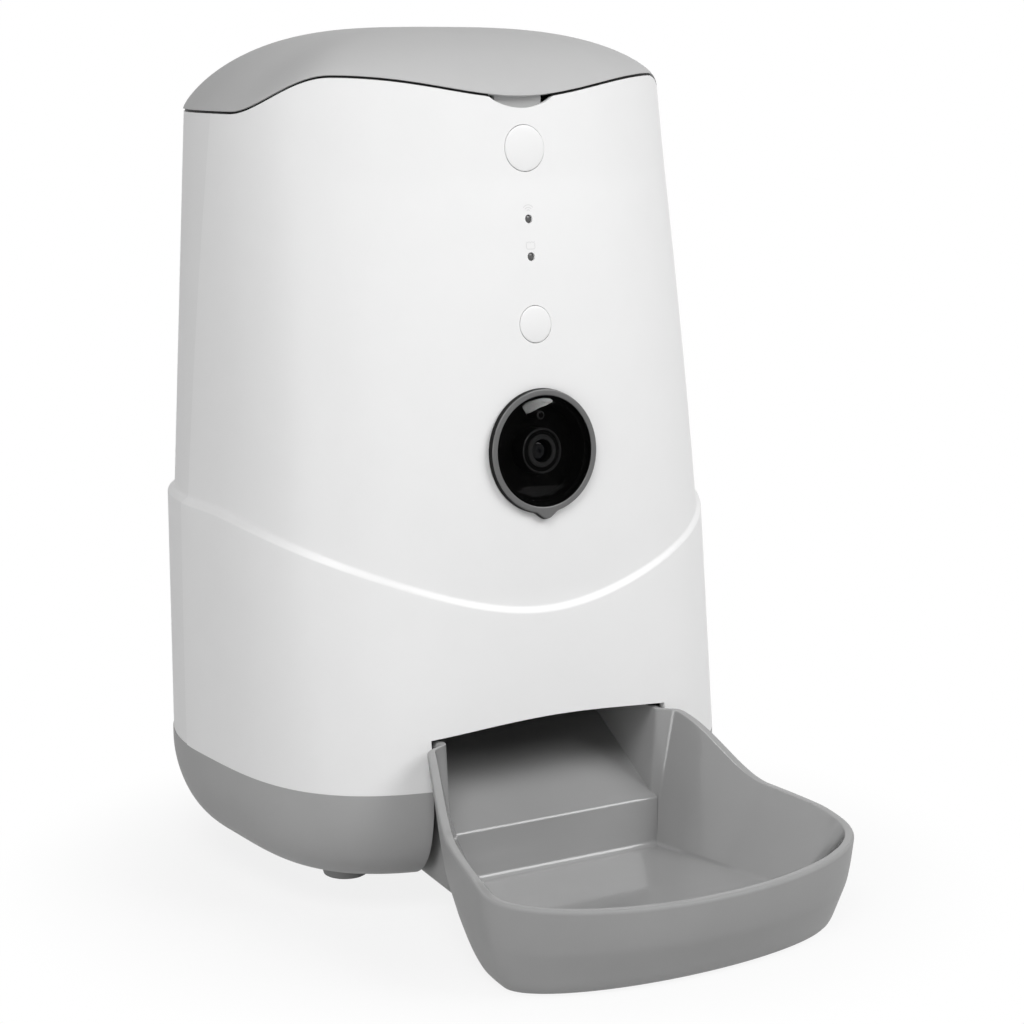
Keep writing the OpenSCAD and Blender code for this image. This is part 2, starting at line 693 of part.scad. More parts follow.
module lid_shell() {
    arm_y = upper_section(hinge_z)[2] - wall;
    lid_back_z = lid_edge_z(180) + 0.3;
    color("gray") at_origin() {
        difference() {
            union() {
                vessel(dome(0), dome(wall), roof = true);
                translate([-tab_w / 2, front_y(seam_front_z) + tab_inset,
                    seam_front_z - tab_drop + tab_gap])
                    cube([tab_w, wall, tab_drop + wall]);
                for (side = [-1, 1])
                    translate([side * (1.5 * knuckle_len + knuckle_side_gap), 0, 0]) {
                        translate([0, hinge_y, hinge_z])
                            cross_rod(knuckle_d, -knuckle_len / 2, knuckle_len / 2);
                        translate([knuckle_len / 2, 0, 0]) rotate([90, 0, -90]) mirror([1, 0, 0])
                            linear_extrude(knuckle_len)
                                polygon([[arm_y, lid_back_z], [hinge_y - knuckle_d / 2 - 0.1, lid_back_z],
                                    [hinge_y - 0.5, hinge_z + 2], [hinge_y + knuckle_d / 3, hinge_z + 2.4],
                                    [hinge_y + 0.4, hinge_z + 6.4], [arm_y, hinge_z + 8]]);
                    }
            }
            translate([0, hinge_y, hinge_z]) cross_rod(hinge_pin_d + 2 * run_gap, -hinge_len, hinge_len);
        }
    }
}

module lid_liner() {
    d = upper_section(liner_z);
    color("gainsboro") at_origin() {
        translate([0, 0, liner_z]) linear_extrude(liner_t)
            polygon(outline(shrink(d, liner_inset), corner_n(liner_z)));
        for (p = liner_posts) {
            rim = p * (1 + liner_post_d / 2 / norm(p));
            translate(p) rod(liner_post_d, liner_z, lid_under(rim[0], rim[1]) - 2 * seat_gap);
        }
    }
}

module lid_seal() {
    d = upper_section(liner_z);
    color("whitesmoke") at_origin()
        translate([0, 0, flange_top_z + seat_gap])
            linear_extrude(liner_z - flange_top_z - seat_gap) difference() {
                polygon(outline(shrink(d, seal_inset), corner_n(liner_z)));
                polygon(outline(shrink(d, seal_inset + seal_t), corner_n(liner_z)));
            }
}

module desiccant_box() {
    color("white") at_origin()
        translate([0, dry_y, liner_z - dry_h]) difference() {
            round_plate(dry_w, dry_len, dry_h, dry_r);
            translate([0, 0, dry_wall])
                round_plate(dry_w - 2 * dry_wall, dry_len - 2 * dry_wall, dry_h, dry_r - dry_wall);
            for (i = [-3:3])
                translate([-dry_w / 3, i * dry_pitch - dry_slot / 2, -1])
                    cube([2 * dry_w / 3, dry_slot, dry_wall + 2]);
        }
}

module desiccant_pack() {
    color("ivory") at_origin()
        translate([0, dry_y, liner_z - dry_h + dry_wall])
            round_plate(dry_w - 2 * dry_wall - dry_play, dry_len - 2 * dry_wall - dry_play,
                dry_h - dry_wall - dry_play, dry_r / 2);
}

module hinge_pin() {
    color("silver") at_origin()
        translate([0, hinge_y, hinge_z]) cross_rod(hinge_pin_d, -hinge_len / 2, hinge_len / 2);
}

// Rings of the hopper's skin, from the round throat over a funnel to the straight bin
hopper_section = [collar_w / 2 - wall - hopper_side_gap, hopper_front,
    collar_back - wall - hopper_side_gap];
function throat_ring(z, inset) = [for (j = [0:ring_cols - 1]) let (a = 360 * j / ring_cols)
    [(throat_r - inset) * sin(a), dose_y - (throat_r - inset) * cos(a), z]];
function bin_ring(z, inset) = ring(shrink(hopper_section, inset), hopper_n, z);
function mid_ring(a, b, t) = [for (j = [0:ring_cols - 1]) lerp(a[j], b[j], t)];
function hopper_skin(inset) =
    let (low = throat_ring(throat_top_z, inset), high = bin_ring(hopper_shoulder_z, inset))
    [throat_ring(chamber_top_z, inset), low, mid_ring(low, high, 0.5), high, bin_ring(flange_z, inset)];

module hopper() {
    flange = shrink(upper_section(flange_z), wall + flange_gap);
    n = corner_n(flange_z);
    outer = concat(hopper_skin(0), [ring(flange, n, flange_z), ring(flange, n, flange_top_z)]);
    inner = concat(hopper_skin(hopper_wall),
        [bin_ring(flange_top_z, hopper_wall)]);
    color("lightgray") at_origin() vessel(outer, inner);
}

module dosing_chamber() {
    color("gainsboro") at_origin() {
        difference() {
            union() {
                translate([0, dose_y, 0]) difference() {
                    rod(2 * chamber_r, chamber_floor_z, chamber_top_z);
                    rod(chamber_d, chamber_floor_z + chamber_floor_t, chamber_top_z + 1);
                }
                for (p = chamber_legs) translate(p) rod(leg_d, deck_z + deck_t, chamber_floor_z + 1);
            }
            translate([0, dose_y, 0]) rod(bush_d + 2 * run_gap, 0, chamber_top_z);
            translate([-outlet_w / 2, outlet_y - outlet_len, chamber_floor_z - 1])
                cube([outlet_w, outlet_len, chamber_floor_t + 2]);
        }
    }
}

module dosing_wheel() {
    z0 = chamber_floor_z + chamber_floor_t + wheel_gap;
    color("dimgray") at_origin() translate([0, dose_y, 0]) difference() {
        union() {
            rod(hub_d, z0, z0 + wheel_h);
            for (i = [0:vanes - 1]) rotate(360 * (i + 0.5) / vanes)
                translate([hub_d / 2 - vane_root, -vane_t / 2, z0 + vane_step])
                    cube([chamber_d / 2 - vane_tip_gap - hub_d / 2 + vane_root, vane_t,
                        wheel_h - 2 * vane_step]);
        }
        rod(shaft_d + 2 * run_gap, 0, z0 + wheel_h - hub_cap);
    }
}

module dosing_shaft() {
    color("silver") at_origin() translate([0, dose_y, 0])
        rod(shaft_d, deck_z + 0.5, chamber_floor_z + chamber_floor_t + wheel_gap + wheel_h - hub_cap - 1);
}

module drive_gear() {
    color("white") at_origin() translate([0, dose_y, gear_z]) difference() {
        union() {
            spur_gear(gear_teeth, gear_t, 90);
            rod(shaft_d + 2 * gear_hub_wall, 0, gear_t + gear_hub_rise);
        }
        rod(shaft_d + 2 * run_gap, -gear_hub_rise, gear_t + 2 * gear_hub_rise);
    }
}

module shaft_bush() {
    color("goldenrod") at_origin() translate([0, dose_y, 0]) difference() {
        union() {
            rod(bush_d, chamber_floor_z - bush_flange_t, chamber_floor_z + chamber_floor_t);
            rod(bush_flange_d, chamber_floor_z - bush_flange_t, chamber_floor_z);
        }
        rod(shaft_d + 2 * run_gap, 0, chamber_top_z);
    }
}

module gear_motor() {
    color("silver") at_origin() translate([0, motor_y, 0]) difference() {
        union() {
            rod(motor_d, deck_z - motor_len / 2, deck_z);
            rod(motor_d - motor_step, deck_z - motor_len, deck_z - motor_len / 2);
            rod(motor_boss_d, deck_z, deck_z + deck_t - 0.5);
        }
        rod(motor_shaft_d + 2 * run_gap, deck_z - motor_shaft_in - 1, deck_z + deck_t);
    }
}

module motor_pinion() {
    color("goldenrod") at_origin() translate([0, motor_y, 0]) {
        translate([0, 0, gear_z]) spur_gear(pinion_teeth, gear_t, -90 + 180 / pinion_teeth);
        rod(motor_shaft_d, deck_z - motor_shaft_in, gear_z + gear_t);
    }
}

module drive_deck() {
    color("lightgray") at_origin() difference() {
        union() {
            translate([0, deck_y, deck_z]) round_plate(deck_w, deck_len, deck_t, deck_r);
            for (p = deck_posts) translate(p) rod(post_d, base_floor_z, deck_z + 1);
        }
        translate([0, dose_y, 0]) rod(shaft_d + 2 * run_gap, deck_z - 1, deck_z + deck_t + 1);
        translate([0, motor_y, 0]) rod(motor_boss_d + hole_play, deck_z - 1, deck_z + deck_t + 1);
        for (p = deck_posts) translate(p) rod(screw_d + 2 * run_gap, 0, base_z + screw_len + 1);
    }
}

module outlet_funnel() {
    w = outlet_w + 2 * funnel_wall;
    color("gainsboro") at_origin() translate([0, outlet_y - outlet_len / 2, deck_z]) difference() {
        union() {
            translate([-w / 2, -outlet_len / 2 - funnel_wall, 0])
                cube([w, outlet_len + 2 * funnel_wall, chamber_floor_z - deck_z]);
            translate([-w / 2 - funnel_ear, -outlet_len / 2 - funnel_wall,
                chamber_floor_z - deck_z - funnel_ear_t])
                cube([w + 2 * funnel_ear, outlet_len + 2 * funnel_wall, funnel_ear_t]);
        }
        translate([-outlet_w / 2, -outlet_len / 2, -1]) cube([outlet_w, outlet_len, chamber_floor_z]);
    }
}

module bowl_skin() {
    last = len(stations) - 1;
    left = [for (s = stations) bowl_side(s, -1)];
    right = [for (i = [last - 1:-1:0]) bowl_side(stations[i], 1)];
    columns = concat(left, right);
    cols = len(columns);
    rings = len(columns[0]);
    function at(i, j) = j * rings + i;
    sides = flat([for (i = [0:rings - 2]) for (j = [0:cols - 2])
        [[at(i, j), at(i + 1, j), at(i + 1, j + 1)], [at(i, j), at(i + 1, j + 1), at(i, j + 1)]]]);
    bed = [for (j = [0:last - 1]) let (m = cols - 1 - j, i = rings - 1)
        j == last - 1 ? [at(i, j), at(i, m), at(i, j + 1)]
                      : [at(i, j), at(i, m), at(i, m - 1), at(i, j + 1)]];
    under = [for (j = [0:last - 1]) let (m = cols - 1 - j)
        j == last - 1 ? [at(0, j), at(0, j + 1), at(0, m)]
                      : [at(0, j), at(0, j + 1), at(0, m - 1), at(0, m)]];
    back = [concat([for (i = [0:rings - 1]) at(i, cols - 1)], [for (i = [rings - 1:-1:0]) at(i, 0)])];
    polyhedron(flat(columns), concat(sides, bed, under, back), convexity = 8);
}

module bowl() {
    hollow_w = 2 * neck_hw - 2 * rebate_in - 2 * bowl_wall;
    hollow_y = ledge_y + 8;
    hollow_back_y = bowl_back_y - bowl_wall;
    roof = bowl_wall + 2;
    color("darkgray") at_origin() difference() {
        bowl_skin();
        translate([hollow_w / 2, 0, 0]) rotate([90, 0, -90]) mirror([1, 0, 0]) linear_extrude(hollow_w)
            polygon([[hollow_y, -1], [hollow_y, ramp_z(hollow_y) - roof],
                [hollow_back_y - 8, ramp_z(hollow_back_y - 8) - roof],
                [hollow_back_y, ramp_z(bowl_back_y) - roof], [hollow_back_y, -1]]);
        translate([0, 0, -1]) linear_extrude(floor_z - bowl_wall + 1) polygon(tray_hollow);
    }
}

module camera_bezel() {
    tip = bezel_d / 2 + drop_reach;
    color("dimgray") at_origin() on_front(camera_z) difference() {
        union() {
            rod(bezel_d, bezel_seat_gap, bezel_proud);
            rod(bezel_tube_d, -camera_depth, bezel_seat_gap + 0.5);
            translate([0, 0, bezel_seat_gap]) linear_extrude(bezel_proud - bezel_seat_gap)
                polygon(concat([[drop_hw, drop_root - bezel_d / 2]],
                    [for (a = [0:-30:-180]) [drop_r * cos(a), drop_r * (1 + sin(a)) - tip]],
                    [[-drop_hw, drop_root - bezel_d / 2]]));
        }
        rod(window_d, bezel_proud - window_t - window_in, bezel_proud + 1);
        rod(bezel_tube_d - 4, -camera_depth - 1, bezel_proud + 1);
    }
}

module camera_window() {
    color("black") at_origin() on_front(camera_z)
        rod(window_d - 2 * window_gap, bezel_proud - window_t - window_in, bezel_proud - window_in);
}

module lens_barrel() {
    color("black") at_origin() on_front(camera_z) difference() {
        union() {
            rod(lens_d, board_t - camera_depth, -lens_in);
            rod(lens_d - 4, -lens_in - eps, lens_nose - lens_in);
        }
        rod(lens_glass_d + 2 * run_gap, -lens_in - 1, 0);
    }
}

module lens_glass() {
    color("midnightblue") at_origin() on_front(camera_z)
        rotate_extrude() polygon(concat([[0, -lens_in - 1]], [[lens_glass_d / 2, -lens_in - 1]],
            [for (a = [0:15:90]) [lens_glass_d / 2 * cos(a), 0.4 - lens_in + 1.2 * sin(a)]]));
}

module light_sensor() {
    color("darkslategray") at_origin() on_front(camera_z) translate([0, sensor_up, 0])
        rod(sensor_d, board_t - camera_depth, -sensor_in);
}

module camera_board() {
    color("darkgreen") at_origin() on_front(camera_z)
        rod(bezel_tube_d - 4.4, -camera_depth, board_t - camera_depth);
}

// Button cap with a stem towards its switch and two lugs that hold it behind the wall
module button(z, d) {
    on_front(z) {
        rotate_extrude()
            polygon([[0, -wall - 2], [d / 2, -wall - 2], [d / 2, 0.1], [d / 2 - 0.5, 0.5], [0, 0.7]]);
        rod(stem_d, -stem_in, -wall - 1);
        for (side = [-1, 1])
            translate([side * d / 2, 0, -wall - 0.4 - lug_t / 2])
                cube([2 * lug_w, 2 * lug_w, lug_t], center = true);
    }
}

module feed_button() {
    color("white") at_origin() button(feed_button_z, feed_button_d);
}

module function_button() {
    color("white") at_origin() button(function_button_z, function_button_d);
}

module button_board() {
    half = (feed_button_z - function_button_z) / 2 / cos(front_tilt(board_z));
    board_len = 2 * half + switch_w + 8;
    color("darkgreen") at_origin() on_front(board_z) {
        translate([-board_w / 2, -board_len / 2, -board_in - board_t]) cube([board_w, board_len, board_t]);
        for (side = [-1, 1])
            translate([0, side * half, -board_in + switch_t / 2])
                cube([switch_w, switch_w, switch_t], center = true);
    }
}

module light_pipes() {
    color("lightcyan") at_origin()
        for (z = [light_upper_z, light_lower_z])
            on_front(z) {
                rod(light_d, -board_in + 0.4, -pipe_recess);
                rod(light_d + 2, -wall - 2, -wall - 0.4);
            }
}

module main_board() {
    color("darkgreen") at_origin() {
        translate([-main_w / 2, main_y, main_z]) cube([main_w, board_t, main_h]);
        translate([-radio_w / 2, main_y - radio_t, main_z + radio_up]) cube([radio_w, radio_t, radio_h]);
        for (side = [-1, 1])
            translate([side * plug_x - plug_w / 2, main_y - plug_t, main_z + plug_up])
                cube([plug_w, plug_t, plug_h]);
    }
}

module speaker() {
    color("black") at_origin() translate(speaker_place) {
        rod(speaker_d, base_floor_z, base_floor_z + 4);
        rod(speaker_d * 0.6, base_floor_z + 4, base_floor_z + speaker_h);
    }
}

module power_socket() {
    face_y = socket_y - 0.5;
    block_w = 12;
    color("black") at_origin() difference() {
        union() {
            translate([0, face_y, socket_z]) rotate([90, 0, 0]) cylinder(d = socket_d, h = 14);
            translate([-block_w / 2, face_y - 2 * block_w, base_floor_z])
                cube([block_w, block_w, socket_z + 5 - base_floor_z]);
        }
        translate([0, face_y + 1, socket_z]) rotate([90, 0, 0]) difference() {
            cylinder(d = socket_bore, h = 10);
            cylinder(d = 2, h = 12);
        }
    }
}

module base_screws() {
    color("silver") at_origin()
        for (p = deck_posts) translate(p) {
            rod(screw_head_d, base_z - screw_head_t, base_z);
            rod(screw_d, base_z - eps, base_z + screw_len);
        }
}

front_shell();
back_cover();
base_housing();
rubber_feet();
lid_shell();
lid_liner();
lid_seal();
desiccant_box();
desiccant_pack();
hinge_pin();
hopper();
dosing_chamber();
dosing_wheel();
dosing_shaft();
drive_gear();
shaft_bush();
gear_motor();
motor_pinion();
drive_deck();
outlet_funnel();
bowl();
camera_bezel();
camera_window();
lens_barrel();
lens_glass();
light_sensor();
camera_board();
feed_button();
function_button();
button_board();
light_pipes();
main_board();
speaker();
power_socket();
base_screws();
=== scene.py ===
"""Automatic pet feeder with a camera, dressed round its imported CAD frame.

Lengths are metres. +Z is up, the bowl points to -Y and the table is at z = 0.
"""
import math

import bmesh
import bpy
from bpy.props import FloatProperty, FloatVectorProperty, PointerProperty
from mathutils import Matrix, Vector


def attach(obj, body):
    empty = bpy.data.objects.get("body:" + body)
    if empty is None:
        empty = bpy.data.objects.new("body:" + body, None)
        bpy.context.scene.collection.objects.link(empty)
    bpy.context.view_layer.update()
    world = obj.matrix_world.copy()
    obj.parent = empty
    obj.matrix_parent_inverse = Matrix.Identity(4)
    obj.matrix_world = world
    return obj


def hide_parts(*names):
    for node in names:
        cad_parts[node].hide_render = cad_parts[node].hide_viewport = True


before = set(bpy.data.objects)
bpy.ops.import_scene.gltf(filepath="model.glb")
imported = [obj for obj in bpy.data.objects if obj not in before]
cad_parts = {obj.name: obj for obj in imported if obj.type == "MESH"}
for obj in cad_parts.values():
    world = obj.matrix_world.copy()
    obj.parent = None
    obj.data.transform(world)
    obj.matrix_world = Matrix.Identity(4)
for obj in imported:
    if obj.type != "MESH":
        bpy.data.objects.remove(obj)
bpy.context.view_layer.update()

bl_info = {
    "name": "Pet feeder",
    "version": (1, 0, 0),
    "blender": (4, 5, 0),
    "location": "3D View > Sidebar > Feeder",
    "description": "Builds the shells, lid, bowl, camera, buttons and studio of a pet feeder",
    "category": "Object",
}

# Sections of the body are drawn about its widest place, which lies behind the frame's origin
ORIGIN_Y = 0.04985
RIDGE_REF_Z = 0.1135
COLLAR_Z = 0.2635
BASE_CORNER = 3.55
COLLAR_CORNER = 2.5
BACK_CORNER = 2.1
RIDGE_SIDE_ANGLE = math.radians(84)
SEAM_CORNER_ANGLE = math.radians(54)
SEAM_BACK_ANGLE = math.radians(80)
MOUTH_ANGLE = math.radians(30)
SHARP_ANGLE = math.radians(38)
FOOT_PLACES = ((-0.053, -0.028), (0.053, -0.028), (-0.05, 0.048), (0.05, 0.048))
# Faces whose normal rises more than this count as facing out of the front
FACING = 0.3


def size(name, default, description):
    """A length that a user may change."""
    return FloatProperty(name=name, default=default, description=description,
                         subtype="DISTANCE", unit="LENGTH", precision=5)


def tint(name, default, description):
    """A colour that a user may change."""
    return FloatVectorProperty(name=name, default=default, description=description,
                               subtype="COLOR", size=3, min=0.0, max=1.0)


def share(name, default, description):
    """A plain number from 0 to 1."""
    return FloatProperty(name=name, default=default, description=description,
                         subtype="FACTOR", min=0.0, max=1.0)


def watts(name, default, description):
    """Power of a lamp."""
    return FloatProperty(name=name, default=default, description=description, unit="POWER")


class FeederBody(bpy.types.PropertyGroup):
    """Sections and height lines of the white body and its grey base."""
    width: size("Width", 0.2, "Width at the base seam")
    front: size("Front reach", 0.0937, "Reach in front of the widest place, at the base seam")
    back: size("Back reach", 0.0953, "Reach behind the widest place, at the base seam")
    skirt_width: size("Skirt width", 0.202, "Width of the skirt at the ridge")
    skirt_front: size("Skirt front", 0.0869, "Front reach of the skirt at the ridge")
    skirt_back: size("Skirt back", 0.093, "Back reach of the skirt at the ridge")
    collar_width: size("Collar width", 0.187, "Width just below the lid")
    collar_front: size("Collar front", 0.0708, "Front reach just below the lid")
    collar_back: size("Collar back", 0.0848, "Back reach just below the lid")
    front_bow: size("Front bow", 0.0017, "Outward bow of the front wall")
    wall: size("Wall", 0.0025, "Wall of the shells, the base and the lid")
    ridge_step: size("Ridge step", 0.0012, "How far the skirt stands out at the ridge")
    ridge_height: size("Ridge height", 0.003, "Height of the soft step at the ridge")
    ridge_front_z: size("Ridge, front", 0.108, "Height of the ridge at the front")
    ridge_side_z: size("Ridge, sides", 0.143, "Height of the ridge at the sides and the back")
    part_y: size("Parting line", 0.012, "Where the front shell meets the back cover, at the base")
    part_lead: size("Lead of the parting line", 0.0157,
                    "How far the parting line bends forward up to the seam")
    border_z: size("Base seam", 0.0477, "Height of the seam between base and shell")
    base_z: size("Underside", 0.0135, "Height of the flat underside of the base")
    base_round: size("Base rounding", 0.0305, "Height over which the lower edge is rounded")
    base_inset: size("Base inset", 0.0175, "How far the rounding draws the underside in")
    mouth_width: size("Mouth width", 0.1024, "Width of the mouth for the bowl")
    mouth_z: size("Mouth height", 0.0691, "Height of the mouth at its centre")
    mouth_arch: size("Mouth arch", 0.0031, "Rise of the arched top of the mouth")
    seam_gap: size("Seam gap", 0.001, "Gap between the lid and the shell")
    edge_round: size("Edge rounding", 0.0004, "Rounding of the moulded edges")


class FeederLid(bpy.types.PropertyGroup):
    """Dome, waved seam, finger tab and hinge of the lid."""
    top_z: size("Top", 0.3174, "Height of the top of the lid")
    seam_front_z: size("Seam, front", 0.2923, "Height of the seam at the front centre")
    seam_corner_z: size("Seam, corners", 0.2998, "Height of the seam at the front corners")
    seam_back_z: size("Seam, back", 0.2867, "Height of the seam at the sides and the back")
    tab_width: size("Tab width", 0.0202, "Width of the finger tab")
    tab_drop: size("Tab drop", 0.0046, "How far the finger tab hangs below the lid edge")
    tab_inset: size("Tab inset", 0.0028, "How far the finger tab lies behind the front of the shell")
    notch_width: size("Notch width", 0.0275, "Width of the scoop in the shell round the tab")
    notch_drop: size("Notch drop", 0.0034, "Depth of the scoop in the shell round the tab")
    knuckle: size("Knuckle", 0.0075, "Diameter of a hinge knuckle")
    pin: size("Pin", 0.004, "Diameter of the hinge pin")
    hinge_length: size("Hinge length", 0.044, "Length of the hinge over all its knuckles")


class FeederBowl(bpy.types.PropertyGroup):
    """Tray, neck and ramp of the food bowl."""
    tray_width: size("Tray width", 0.1546, "Width across the tray")
    neck_width: size("Neck width", 0.0984, "Width of the neck that runs into the body")
    reach: size("Reach", 0.1968, "Reach in front of the body's widest place")
    nose: size("Nose", 0.033, "Length of the rounded nose of the tray")
    rim_front_z: size("Rim, front", 0.033, "Height of the rim at the nose")
    rim_neck_z: size("Rim, neck", 0.065, "Height of the rim at the neck")
    floor_z: size("Floor", 0.0135, "Height of the tray floor")
    ledge_z: size("Ledge", 0.0312, "Height of the ledge where the ramp ends")
    ground: size("Clearance", 0.0008, "Clearance under the tray")
    wall: size("Wall", 0.0035, "Wall of the bowl")
    neck_lean: size("Neck lean", 0.0027, "How far the walls of the neck lean in towards the floor")
    tray_lean: size("Tray lean", 0.0107, "How much further the walls of the tray lean in")
    shoulder: size("Shoulder", 0.0068, "How far each side steps out between neck and tray")
    rim_round: size("Rim, outside", 0.0016, "Rounding of the rim's outer edge")
    lip_round: size("Rim, inside", 0.0004, "Rounding of the rim's inner edge")
    nose_drop: size("Nose drop", 0.002, "How much further the rim falls round the nose")
    ramp_slope: share("Ramp slope", 0.6, "Rise of the ramp for each metre of depth")


class FeederPanel(bpy.types.PropertyGroup):
    """Camera, buttons and lights on the front."""
    feed_z: size("Feed button", 0.2741, "Height of the feed button")
    feed_width: size("Feed button width", 0.0166, "Diameter of the feed button")
    function_z: size("Function button", 0.2112, "Height of the function button")
    function_width: size("Function button width", 0.0133, "Diameter of the function button")
    button_gap: size("Button gap", 0.0002, "Gap round a button in its hole")
    upper_light_z: size("Upper light", 0.2489, "Height of the upper light")
    lower_light_z: size("Lower light", 0.2354, "Height of the lower light")
    light_width: size("Light width", 0.003, "Diameter of a light")
    camera_z: size("Camera", 0.1655, "Height of the camera axis")
    bezel_width: size("Bezel", 0.046, "Diameter of the camera bezel")
    bezel_proud: size("Bezel height", 0.0024, "How far the bezel stands out of the shell")
    window_width: size("Window", 0.0404, "Diameter of the camera window")
    lens_width: size("Lens", 0.0167, "Diameter of the lens barrel")


class FeederFinish(bpy.types.PropertyGroup):
    """Colours of the plastics."""
    shell: tint("Shell", (0.84, 0.84, 0.84), "White of the front shell and the buttons")
    cover: tint("Back cover", (0.8, 0.8, 0.8), "White of the back cover")
    lid: tint("Lid", (0.51, 0.51, 0.51), "Grey of the lid")
    base: tint("Base", (0.4, 0.4, 0.4), "Grey of the base")
    bowl: tint("Bowl", (0.335, 0.335, 0.335), "Grey of the bowl")
    bezel: tint("Bezel", (0.125, 0.125, 0.125), "Grey of the bezel's face")
    rubber: tint("Feet", (0.38, 0.38, 0.38), "Grey of the rubber feet")


class FeederStage(bpy.types.PropertyGroup):
    """Studio floor, lamps and camera."""
    floor: tint("Floor", (0.7, 0.7, 0.7), "Colour of the studio floor")
    shadow: share("Shadow", 0.15, "How much of the shadow under the feeder is kept")
    ambient: share("Ambient", 0.0, "Strength of the even light from all sides")
    key: watts("Key lamp", 25.6, "Power of the lamp at the right")
    fill: watts("Fill lamp", 19.5, "Power of the high lamp at the left")
    side: watts("Side lamp", 8.5, "Power of the low lamp at the left")
    camera_at: FloatVectorProperty(name="Camera place", default=(-0.5006, -0.79425, 0.3117), size=3,
                                   subtype="TRANSLATION", unit="LENGTH",
                                   description="Where the camera stands")
    camera_back: FloatVectorProperty(name="Camera back", default=(-0.5196, -0.8381, 0.1659), size=3,
                                     subtype="DIRECTION", description="Direction from the view to the camera")
    lens: FloatProperty(name="Lens", default=89.47, unit="CAMERA", description="Focal length in millimetres")
    shift: FloatVectorProperty(name="Shift", default=(0.0353, -0.0408), size=2,
                               description="Shift of the frame, in frame widths")


# Plain helpers for curves and sections

def lerp(a, b, t):
    return a + (b - a) * t


def ease(t):
    """Soft step from 0 to 1."""
    return (1 - math.cos(math.pi * min(1.0, max(0.0, t)))) / 2


def spaced(a, b, count):
    """Evenly spaced values from a to b, both included."""
    return [lerp(a, b, i / count) for i in range(count + 1)]


def bisect(low, high, short):
    """Value between two guesses where a test stops saying that it falls short."""
    for _ in range(28):
        mid = (low + high) / 2
        if short(mid):
            low = mid
        else:
            high = mid
    return high


def rounded(line, radii, steps):
    """Flat line of corners with each inner corner rounded off by a short curve."""
    line = [Vector(p) for p in line]
    soft = [line[0]]
    for before, at, after, r in zip(line, line[1:], line[2:], radii):
        start, end = [at + (p - at).normalized() * min(r, 0.45 * (p - at).length)
                      for p in (before, after)]
        soft += [start.lerp(at, t).lerp(at.lerp(end, t), t) for t in spaced(0, 1, steps)]
    return soft + [line[-1]]


def shrink(section, inset):
    return tuple(d - inset for d in section)


def skirt_section(body, z):
    """Half width, front reach and back reach of the skirt at a height."""
    t = (z - body.border_z) / (RIDGE_REF_Z - body.border_z)
    return (lerp(body.width, body.skirt_width, t) / 2, lerp(body.front, body.skirt_front, t),
            lerp(body.back, body.skirt_back, t))


def upper_section(body, z):
    """Half width, front reach and back reach of the upper shell at a height."""
    t = (z - RIDGE_REF_Z) / (COLLAR_Z - RIDGE_REF_Z)
    step = body.ridge_step
    return (lerp(body.skirt_width / 2 - step, body.collar_width / 2, t),
            lerp(body.skirt_front - step, body.collar_front, t)
            + max(0.0, body.front_bow * 4 * t * (1 - t)),
            lerp(body.skirt_back - step, body.collar_back, t))


def corner(body, z):
    """Squareness of the front corners at a height."""
    return lerp(BASE_CORNER, COLLAR_CORNER, max(0.0, (z - body.border_z) / (COLLAR_Z - body.border_z)))


def reach(section, n, a):
    """Reach of a section in a direction, measured from the front towards +X."""
    ahead = math.cos(a) > 0
    power = n if ahead else BACK_CORNER
    depth = section[1] if ahead else section[2]
    return ((abs(math.sin(a)) / section[0]) ** power + (abs(math.cos(a)) / depth) ** power) ** (-1 / power)


def rim_point(section, n, a, z):
    r = reach(section, n, a)
    return Vector((r * math.sin(a), ORIGIN_Y - r * math.cos(a), z))


def turn(a):
    """Angle from the front, on either side."""
    return abs((a + math.pi) % (2 * math.pi) - math.pi)


def ridge_z(body, a):
    return lerp(body.ridge_front_z, body.ridge_side_z, ease(turn(a) / RIDGE_SIDE_ANGLE))


def seam_z(lid, a):
    """Height of the waved seam under the lid."""
    t = turn(a)
    if t < SEAM_CORNER_ANGLE:
        return lerp(lid.seam_front_z, lid.seam_corner_z, ease(t / SEAM_CORNER_ANGLE))
    return lerp(lid.seam_corner_z, lid.seam_back_z,
                ease((t - SEAM_CORNER_ANGLE) / (SEAM_BACK_ANGLE - SEAM_CORNER_ANGLE)))


def wall_section(body, a, z):
    """Section of the shell at a height, with the soft ridge between skirt and upper shell."""
    t = ease((z - ridge_z(body, a)) / body.ridge_height + 0.5)
    low, high = skirt_section(body, z), upper_section(body, z)
    return tuple(lerp(p, q, t) for p, q in zip(low, high))


def wall_point(body, a, z):
    return rim_point(wall_section(body, a, z), corner(body, z), a, z)


def front_frame(body, z):
    """Local frame on the front face: +Z points out of the shell, +Y up along it."""
    step = 0.001
    lean = math.atan((upper_section(body, z - step)[1] - upper_section(body, z + step)[1]) / (2 * step))
    place = Matrix.Translation((0, ORIGIN_Y - upper_section(body, z)[1], z))
    return place @ Matrix.Rotation(math.pi / 2 - lean, 4, "X")


# Mesh helpers

def chain(bm, points, closed=False):
    """Vertices joined into an open or a closed line; gives its edges."""
    verts = [bm.verts.new(p) for p in points]
    ends = verts[1:] + verts[:1] if closed else verts[1:]
    return [bm.edges.new(pair) for pair in zip(verts, ends)]


def loft(bm, rows, closed=False):
    """Skin over rows of points, pushed on from row to row; gives the edges of each row."""
    chains = [chain(bm, rows[0], closed)]
    for points in rows[1:]:
        pushed = bmesh.ops.extrude_edge_only(bm, edges=chains[-1])["geom"]
        verts = [v for v in pushed if isinstance(v, bmesh.types.BMVert)]
        for v, point in zip(verts, points, strict=True):
            v.co = point
        ends = verts[1:] + verts[:1] if closed else verts[1:]
        chains.append([bm.edges.get(pair) for pair in zip(verts, ends)])
    return chains


